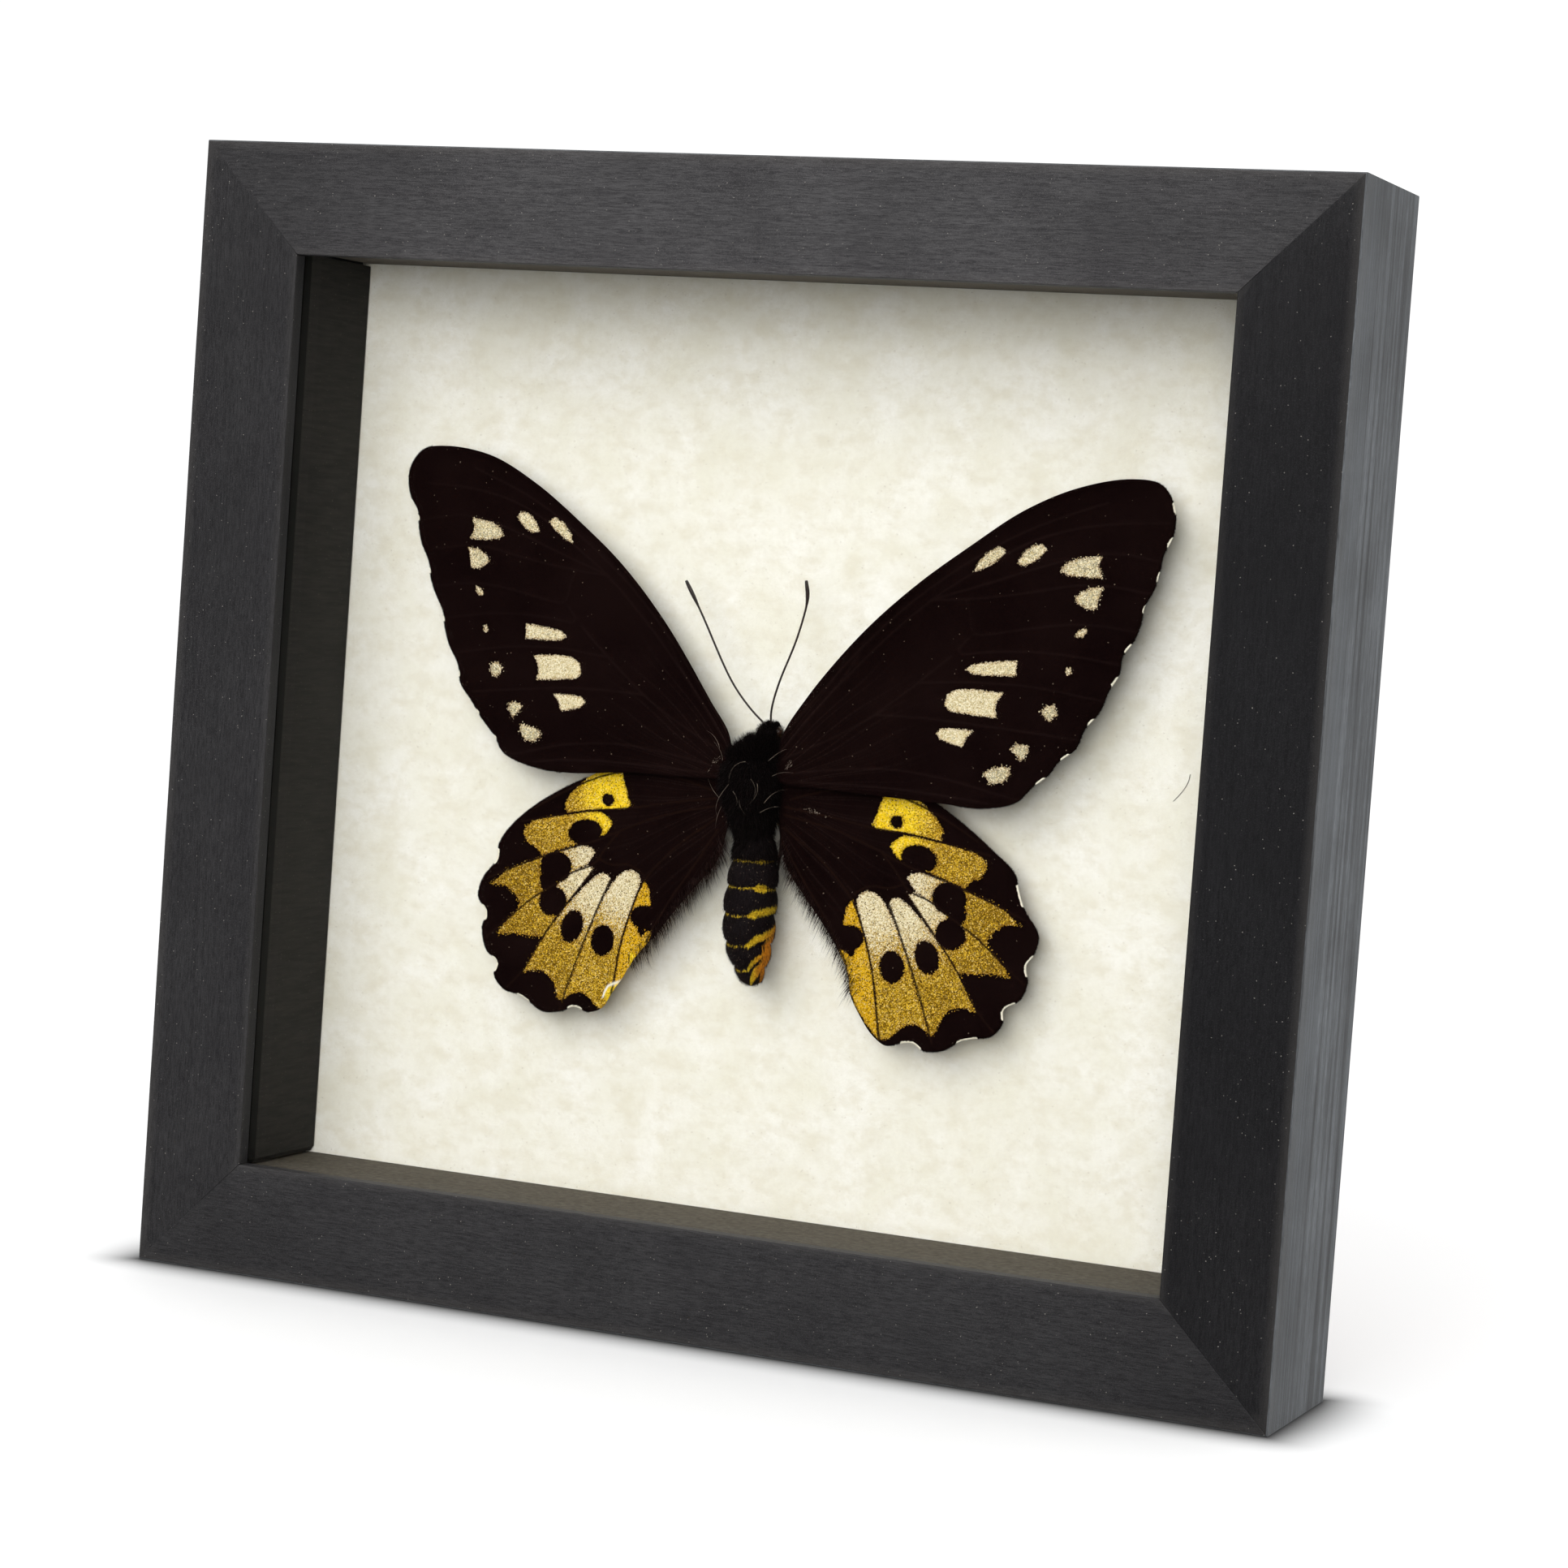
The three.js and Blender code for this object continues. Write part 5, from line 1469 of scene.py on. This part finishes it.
def antenna(route):
    """Radius = a thin stalk + a club over the last sixth + a fine ripple for the rings."""
    corners = [(x, WING_PLANE - ANTENNA_LIFT - ANTENNA_RISE * k, z) for k, (x, z) in enumerate(route)]
    corners = [HEAD_MIDDLE + (0.4 * np.sign(corners[1][0] - 1.8), -0.8, 1.6), *corners]
    path = smooth_path(corners, 200)
    share = np.linspace(0, 1, 200)
    club = np.sin(np.pi * 0.86 * np.clip((share - CLUB_START) / 0.17, 0, 1))
    radius = STALK_RADIUS + 0.2 * club + 0.015 * np.sin(share * STALK_RINGS * 2 * np.pi)
    return tube(path, radius, 10)


def leg(route, hand):
    """Radius = thick thigh, thin shin and a beaded foot, tapering to the claw."""
    path = smooth_path([(hand * x + LEGS_X, WING_PLANE + depth, z) for x, depth, z in route], 120)
    share = np.linspace(0, 1, 120)
    radius = 0.42 - 0.26 * share + 0.05 * np.sin(share * 3 * np.pi) ** 2
    radius = radius + np.where(share > 0.66, 0.04 * np.abs(np.sin(share * 30)), 0)
    return tube(path, radius, 10)


for hand_name, route in ANTENNAE.items():
    points, faces = skin(antenna(route))
    node = "antenna_" + hand_name
    add_piece(node + "_stalk", points, faces, horn, replaces=[node])
for hand in (-1, 1):
    for pair, route in LEGS.items():
        points, faces = skin(leg(route, hand))
        node = f"leg_{pair}_{HANDS[hand]}"
        add_piece(node + "_limb", points, faces, horn, replaces=[node])

# %% [markdown]
# ## Fur, fringes and stray hairs
# The thorax is covered in black fur that lies towards the tail and spreads over the roots of the wings.
# Hair could be combed by hand, but blades strewn at random on the skin and leaning one way look as natural
# and come out the same on every run, because the random numbers start from a fixed seed.

# %% Fur


def surface_samples(rings, count):
    """Random places on a lofted skin, with the outward direction there: the cross product of the two grid
    directions, turned away from the middle of the ring."""
    rows, sides, _ = rings.shape
    i = rng.integers(1, rows - 2, count)
    j = rng.integers(0, sides, count)
    u, v = rng.random((2, count, 1))
    a, b = rings[i, j], rings[i, (j + 1) % sides]
    c, d = rings[i + 1, j], rings[i + 1, (j + 1) % sides]
    places = (a * (1 - u) + b * u) * (1 - v) + (c * (1 - u) + d * u) * v
    normals = np.cross(b - a, c - a)
    outward = places - rings[i].mean(1)
    normals *= np.sign(np.einsum("ij,ij->i", normals, outward))[:, None]
    return places, normals / np.linalg.norm(normals, axis=1)[:, None]


TAILWARD = np.array([0, 0, -1.0])
HEADWARD = np.array([0, 0, 1.0])


def fur(name, places, outward, lean, lengths, width, finish, jitter=0.35, droop=0.1):
    """Blades that stand out from a skin and lean one way: direction = outward + lean."""
    spread = rng.uniform(*lengths, len(places))
    points, faces = blades(places, outward + lean, spread, width, droop, jitter)
    return add_piece(name, points, faces, finish, smooth=False)


COLLAR_HEIGHT = 107.4
WAIST_HEIGHT = 98.5
FURRY_ABDOMEN = 88
places, outward = surface_samples(thorax_skin, 15000)
fur("thorax_fur", places, outward * 0.6, TAILWARD * 0.8, (1.0, 2.3), 0.09, black_fur)
high = places[:, 2] > COLLAR_HEIGHT
for name, width, reach in (("collar_fur", 0.09, (1.4, 2.6)), ("collar_fur_long", 0.07, (1.8, 3.2))):
    fur(name, places[high], outward[high] * 0.5, HEADWARD, reach, width, black_fur, jitter=0.4, droop=0)
low = places[:, 2] < WAIST_HEIGHT
waist_outward = outward[low] * 0.12
fur("waist_fur", places[low], waist_outward, TAILWARD, (1.6, 4.2), 0.08, black_fur, jitter=0.12, droop=0)
places, outward = surface_samples(head_skin, 3600)
fur("head_fur", places, outward, HEADWARD * 0.2, (0.5, 1.3), 0.07, black_fur, jitter=0.4, droop=0)
top_of_abdomen = abdomen_rings[abdomen_rings[:, 0, 2] > FURRY_ABDOMEN]
places, outward = surface_samples(top_of_abdomen, 6000)
kept = rng.random(len(places)) < np.clip((places[:, 2] - 87.6) / 4.5, 0, 1) ** 1.3
places, outward = places[kept], outward[kept] * 0.3
fur("abdomen_top_fur", places, outward, TAILWARD, (0.8, 2.0), 0.07, black_fur, jitter=0.25, droop=0)
places, outward = surface_samples(abdomen_rings, 9000)
fur("abdomen_down", places, outward * 0.35, TAILWARD, (0.3, 0.65), 0.04, brown_hair, 0.2, 0)

# %% [markdown]
# ## Damage and stray hairs
# A few pale hairs cross the thorax, some scales stand up where the wing roots are rubbed, and one fine hair
# lies on the paper. Such small faults make a specimen believable. Each hair is a thin tube along a bowed
# line, and the rubbed scales are short blades rooted on the wing's own surface.

# %% Stray hairs and rubbed places
PALE_HAIR_RADIUS = 0.032
HAIR_STEPS = 12
HAIR_SIDES = 5
HAIR_LIFT = 0.25


def curled_hair(start, end, bow):
    """One pale hair: the line from start to end, plus the bow times 4 s (1 - s) at share s, so that the
    middle is pushed aside by the whole bow."""
    start, end, bow = (np.array(v, float) for v in (start, end, bow))
    share = np.linspace(0, 1, HAIR_STEPS)[:, None]
    path = start + (end - start) * share + bow * 4 * share * (1 - share)
    return skin(tube(path, PALE_HAIR_RADIUS * (1.05 - share[:, 0]), HAIR_SIDES))


# Both ends of the pale hairs that cross the thorax and the wing roots, as (x, depth behind the specimen's
# plane, z), and each hair's bow.
PALE_HAIRS = [
    ((0.6, -6.3, 107.8), (-2.6, -6.2, 103.2), (-0.9, 0, 0.9)),
    ((-2.6, -6.2, 103.2), (-5.2, -4.6, 97), (-1.1, 0, -0.4)),
    ((-1.6, -6.2, 102), (-0.8, -6.1, 99.2), (0.5, 0, 0)),
    ((1.8, -6.1, 104.6), (2.6, -5.7, 101), (0.5, 0, 0.3)),
    ((2.9, -5.5, 103.9), (1.2, -5.9, 99.4), (0.9, 0, 0)),
    ((4.4, -4.4, 108.2), (7.2, -1.9, 110.6), (0.3, 0, 0.6)),
    ((4.2, -4.6, 100.2), (7.6, -1.6, 103), (-0.2, -0.2, 0.7)),
    ((-6.6, -2.4, 109.6), (-9.8, -1.9, 112.8), (0.4, 0, 0.3)),
    ((-5.6, -3, 107.4), (-8.2, -1.9, 110.8), (0.5, 0, 0)),
    ((-6.4, -1.4, 100.2), (-9.4, -0.6, 104), (-0.5, 0, 0)),
    ((3.6, -4.9, 98.4), (6.6, -1.6, 99.6), (0.2, -0.2, 0.5)),
    ((5.2, -4, 105.4), (8.6, -1.8, 106.2), (0, -0.2, 0.4)),
    ((-4.6, -4.2, 98.8), (-6.8, -1.2, 94.4), (-0.3, 0, 0)),
    ((-0.2, -6.1, 100.4), (1.2, -5.8, 97.8), (-0.4, 0, 0)),
]
hairs = []
for start, end, bow in PALE_HAIRS:
    lifted = [(x, WING_PLANE + depth - HAIR_LIFT, z) for x, depth, z in (start, end)]
    hairs.append(curled_hair(*lifted, bow))
points, faces = joined(hairs)
add_piece("pale_stray_hairs", points, faces, pale_hair)

# Rubbed places at the wing roots, where pale scales stand up: middle (x, z), half sizes, tilt in degrees,
# how many scales, and how far that wing lies behind the specimen's plane.
RUBBED = [
    ((12.1, 99.1), (2.0, 0.4), -14, 34, HINDWING_LIFT),
    ((7.2, 107.6), (1.2, 0.5), 62, 24, FOREWING_LIFT),
    ((-7.7, 107.2), (1.2, 0.4), -58, 18, FOREWING_LIFT),
]
for number, ((x, z), (long, short), tilt, count, lift) in enumerate(RUBBED, start=1):
    turn = math.radians(tilt)
    along, across = rng.normal(0, 0.5, (2, count)) * np.array([[long], [short]])
    outward = abs(x) + along * math.cos(turn) - across * math.sin(turn)
    flat = np.stack([outward, z + along * math.sin(turn) + across * math.cos(turn)], axis=1)
    depth = wing_depth(flat, lift) - MEMBRANE
    roots = np.stack([np.sign(x) * flat[:, 0], WING_PLANE + depth, flat[:, 1]], axis=1)
    lean = np.array([np.sign(x) * math.cos(turn), -0.25, math.sin(turn)])
    fur(f"rubbed_scales_{number}", roots, 0, lean, (0.25, 0.7), 0.09, pale_hair, jitter=0.45, droop=0)

# The single fine hair that lies on the paper at the right.
PAPER_HAIR = [(79.6, 107), (81, 108.6), (82.2, 110.6), (82.4, 112.2)]
PAPER_HAIR_RADIUS = 0.05
on_paper = [(x, paper_box[0, 1] - 0.08, z) for x, z in PAPER_HAIR]
points, faces = skin(tube(smooth_path(on_paper, 40), PAPER_HAIR_RADIUS, HAIR_SIDES))
add_piece("hair_on_paper", points, faces, brown_hair)

# %% [markdown]
# ## Fringes and wing hairs
# A short fringe of scales edges every wing, white where the edge curves in and dark elsewhere, and long
# brown hairs line the inner edge of each hindwing. Both are the same blades again, rooted along a stretch
# of the rim and pointing away from it.

# %% Wing hairs


def fringe_roots(rim, start, end, per_point):
    """Places along a stretch of a wing's rim, from share start to share end, and the outward direction:
    the rim's own direction turned through a right angle."""
    ahead = np.roll(rim, -1, 0) - np.roll(rim, 1, 0)
    outward = np.stack([-ahead[:, 1], ahead[:, 0]], axis=1)
    middle = rim.mean(0)
    outward *= np.sign(np.einsum("ij,ij->i", outward, rim - middle).mean())
    outward /= np.linalg.norm(outward, axis=1)[:, None]
    index = np.arange(int(start * len(rim)), int(end * len(rim)))
    index = np.repeat(index, per_point)
    spread = rng.random((len(index), 1))
    flat = rim[index] * (1 - spread) + rim[(index + 1) % len(rim)] * spread
    return flat, outward[index]


def raised(flat, side, lift):
    """Places on a wing's middle surface."""
    return np.stack([side * flat[:, 0], WING_PLANE + wing_depth(flat, lift), flat[:, 1]], axis=1)


def along_wing(direction, side):
    """A direction in the flat pattern as a direction in space, mirrored for a left wing."""
    return np.stack([side * direction[:, 0], np.zeros(len(direction)), direction[:, 1]], axis=1)


FRINGE_STRETCH = {"forewing": (0.42, 0.80), "hindwing": (0.2, 0.66)}
INNER_EDGE = (0.745, 0.94)
LIFTS = {"forewing": FOREWING_LIFT, "hindwing": HINDWING_LIFT}
for (kind, side), rim in rims.items():
    flat, outward = fringe_roots(rim, *FRINGE_STRETCH[kind], 7)
    near = place_distance(flat, np.array(WHITE_FRINGES[kind, side])) < FRINGE_REACH[kind, side]
    fringes = (("white", near, white_fringe, 0.3), ("dark", ~near, black_fur, 0.45))
    for name, chosen, finish, reach in fringes:
        roots = raised(flat[chosen] - outward[chosen] * 0.15, side, LIFTS[kind])
        length = rng.uniform(0.6, 1.0, len(roots)) * reach
        points, faces = blades(roots, along_wing(outward[chosen], side), length, 0.13, 0.0, 0.18)
        fringe_name = f"{kind}_{HANDS[side]}_fringe_{name}"
        add_piece(fringe_name, points, faces, finish, smooth=False)
    if kind == "hindwing":
        flat, outward = fringe_roots(rim, *INNER_EDGE, 14)
        roots = raised(flat - outward * rng.uniform(-0.1, 2.0, (len(flat), 1)), side, LIFTS[kind])
        lengthwise = along_wing(outward, side) + TAILWARD * 1.5
        lengths = rng.uniform(1.4, 3.0, len(roots)) + 1.6 * (rng.random(len(roots)) > 0.8)
        points, faces = blades(roots, lengthwise, lengths, 0.075, 0.1, 0.28)
        hairs_name = f"hindwing_{HANDS[side]}_inner_hairs"
        add_piece(hairs_name, points, faces, brown_hair, smooth=False)

# %% [markdown]
# ## The back of the box
# The photograph doesn't show the back. Boxes like this are closed by a brown hardboard panel held with
# flat steel points, and hang from a toothed hanger. The hardboard has the fine mesh print of the screen it
# was pressed on, and the metal is plain zinc-plated steel.

# %% Back


MESH_PRINT_SCALE = 0.26


def hardboard():
    """Brown fibres in two shades. The mesh print is the product of two sets of waves, one along X and one
    along Z."""
    finish = Finish("hardboard", roughness=0.75)
    fibres = finish.noise(1.3, 5, 0.7)
    clouds = finish.noise(0.03, 3)
    base = finish.mix(finish.between(clouds, 0.3, 0.7), paint(122, 86, 54), paint(146, 106, 70))
    base = finish.mix(finish.between(fibres, 0.5, 0.75, 0, 0.7), base, paint(92, 62, 38))
    finish.set("Base Color", base)
    waves = []
    for direction in ("X", "Z"):
        wave = finish.tree.nodes.new("ShaderNodeTexWave")
        wave.bands_direction = direction
        wave.inputs["Scale"].default_value = MESH_PRINT_SCALE
        finish.tree.links.new(finish.place, wave.inputs["Vector"])
        waves.append(wave.outputs["Fac"])
    mesh_print = finish.maths("MULTIPLY", *waves)
    height = finish.maths("ADD", mesh_print, finish.maths("MULTIPLY", fibres, 0.6))
    finish.set("Normal", finish.bump(height, 0.12, 0.6))
    return finish.material


def zinc_steel():
    """Bright metal with the soft crystal patches of zinc and fine lines brushed along X."""
    finish = Finish("zinc_steel", roughness=0.35, Metallic=1.0)
    brushed = finish.stretched(4, 0.6, (0.5, 2, 9))
    spangle = finish.cells(0.5)
    base = finish.mix(finish.between(spangle, 0.1, 0.6), paint(176, 178, 180), paint(146, 148, 152))
    finish.set("Base Color", base)
    finish.set("Roughness", finish.between(brushed, 0.3, 0.7, 0.28, 0.45))
    finish.set("Normal", finish.bump(brushed, 0.02, 0.4))
    return finish.material


steel = zinc_steel()
dress("backing_board", hardboard())
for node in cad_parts:
    if node.startswith(("fixing_point", "hanger", "mounting_pin")):
        dress(node, steel)
print("back dressed")

# %% [markdown]
# ## Light and floor
# The box stands on a white surface in soft daylight from above and to the left, so the butterfly's shadow
# falls on the paper to its right. The world is bright behind the box and dim in front of it, because the
# glass mirrors what lies in front and a bright mirror image would veil the dark wings. For the same reason
# the floor and the fill light don't show in the glass, and one place of the world is darker still. The
# shade where box and floor meet is painted in the floor's finish: the light is so soft that hardly any
# would fall there otherwise.

# %% Light and floor


CONTACT_REACH = 14
FLOOR_WHITE = (0.93, 0.93, 0.93, 1)
FLOOR_SHADE = (0.03, 0.03, 0.03, 1)
FLOOR_HALF_WIDTH = 2.4
FLOOR_FRONT = -0.55
FLOOR_REAR = 1.1


def floor_finish():
    """White, and darker towards the box by the square of one minus the distance over the reach. The
    distance to the box's foot is the root of the sum of the squares of how far outside it a point is
    along X and along Y."""
    finish = Finish("pale_floor", roughness=0.7)
    outside = []
    for axis, half in (("X", BOX_WIDTH / 2), ("Y", BOX_DEPTH / 2)):
        away = finish.maths("SUBTRACT", finish.maths("ABSOLUTE", finish.part(finish.place, axis)), half)
        outside.append(finish.maths("POWER", finish.maths("MAXIMUM", away, 0.0), 2.0))
    away = finish.maths("POWER", finish.maths("ADD", *outside), 0.5)
    near = finish.between(away, 0.0, CONTACT_REACH, 1, 0)
    near = finish.maths("POWER", near, 2.0)
    finish.set("Base Color", finish.mix(near, FLOOR_WHITE, FLOOR_SHADE))
    return finish.material


def add_floor():
    """One flat face at height 0, which isn't part of the object and stays out of reflections and refraction.
    """
    mesh = bpy.data.meshes.new("floor")
    ends = [(-FLOOR_HALF_WIDTH, FLOOR_FRONT), (FLOOR_HALF_WIDTH, FLOOR_FRONT)]
    ends += [(FLOOR_HALF_WIDTH, FLOOR_REAR), (-FLOOR_HALF_WIDTH, FLOOR_REAR)]
    corners = [(x, y, 0) for x, y in ends]
    mesh.from_pydata(corners, [], [(0, 1, 2, 3)])
    mesh.materials.append(floor_finish())
    floor = bpy.data.objects.new("floor", mesh)
    bpy.context.collection.objects.link(floor)
    floor.visible_glossy = False
    floor.visible_transmission = False


def add_light(name, place, target, size, power, in_reflections=True):
    """A round soft light of that width in metres and power in watts, aimed at the target."""
    data = bpy.data.lights.new(name, "AREA")
    data.shape = "DISK"
    data.size = size
    data.energy = power
    light = bpy.data.objects.new(name, data)
    light.location = place
    aim = np.array(target) - np.array(place)
    light.rotation_euler = aim_rotation(aim)
    light.visible_glossy = in_reflections
    light.visible_transmission = in_reflections
    bpy.context.collection.objects.link(light)


def aim_rotation(direction):
    """The turn that points an object's own -Z along a direction."""
    x, y, z = direction / np.linalg.norm(direction)
    return (math.acos(-z), 0, math.atan2(-x, y))


add_floor()
TARGET = (0, 0, 0.11)
add_light("daylight", (-0.3, -1.25, 0.95), TARGET, 1.0, 8)
add_light("room_fill", (0.3, -1.45, 0.32), TARGET, 0.9, 13, in_reflections=False)

ROOM_STRENGTH = 0.14
MIRRORED_DIRECTION = (-0.39, -0.919, -0.052)
MIRRORED_EDGE = math.cos(math.radians(20))
MIRRORED_CORE = math.cos(math.radians(11.5))
world = bpy.data.worlds.new("world")
bpy.context.scene.world = world
world.use_nodes = True
tree = world.node_tree
coordinates = tree.nodes.new("ShaderNodeTexCoord")
parts = tree.nodes.new("ShaderNodeSeparateXYZ")
tree.links.new(coordinates.outputs["Generated"], parts.inputs[0])


def sky_part(axis, low, high, dim, bright):
    """dim where the direction's share along an axis is low or less, bright where it is high or more."""
    node = tree.nodes.new("ShaderNodeMapRange")
    for socket, number in zip(node.inputs[1:5], (low, high, dim, bright)):
        socket.default_value = number
    tree.links.new(parts.outputs[axis], node.inputs["Value"])
    return node.outputs[0]


brighter = tree.nodes.new("ShaderNodeMath")
brighter.operation = "MAXIMUM"
tree.links.new(sky_part("Y", -0.1, 0.2, ROOM_STRENGTH, 1.08), brighter.inputs[0])
tree.links.new(sky_part("Z", 0.1, 0.65, ROOM_STRENGTH, 1.2), brighter.inputs[1])
# The dark place that the glass mirrors towards the photograph's camera
mirrored = tree.nodes.new("ShaderNodeVectorMath")
mirrored.operation = "DOT_PRODUCT"
tree.links.new(coordinates.outputs["Generated"], mirrored.inputs[0])
mirrored.inputs[1].default_value = MIRRORED_DIRECTION
outside = tree.nodes.new("ShaderNodeMapRange")
for socket, number in zip(outside.inputs[1:5], (MIRRORED_EDGE, MIRRORED_CORE, 1.0, 0.03)):
    socket.default_value = number
tree.links.new(mirrored.outputs["Value"], outside.inputs["Value"])
shaded = tree.nodes.new("ShaderNodeMath")
shaded.operation = "MULTIPLY"
tree.links.new(brighter.outputs[0], shaded.inputs[0])
tree.links.new(outside.outputs[0], shaded.inputs[1])
sky = tree.nodes["Background"]
sky.inputs["Color"].default_value = (1, 1, 1, 1)
tree.links.new(shaded.outputs[0], sky.inputs["Strength"])
bpy.context.scene.view_settings.view_transform = "Standard"
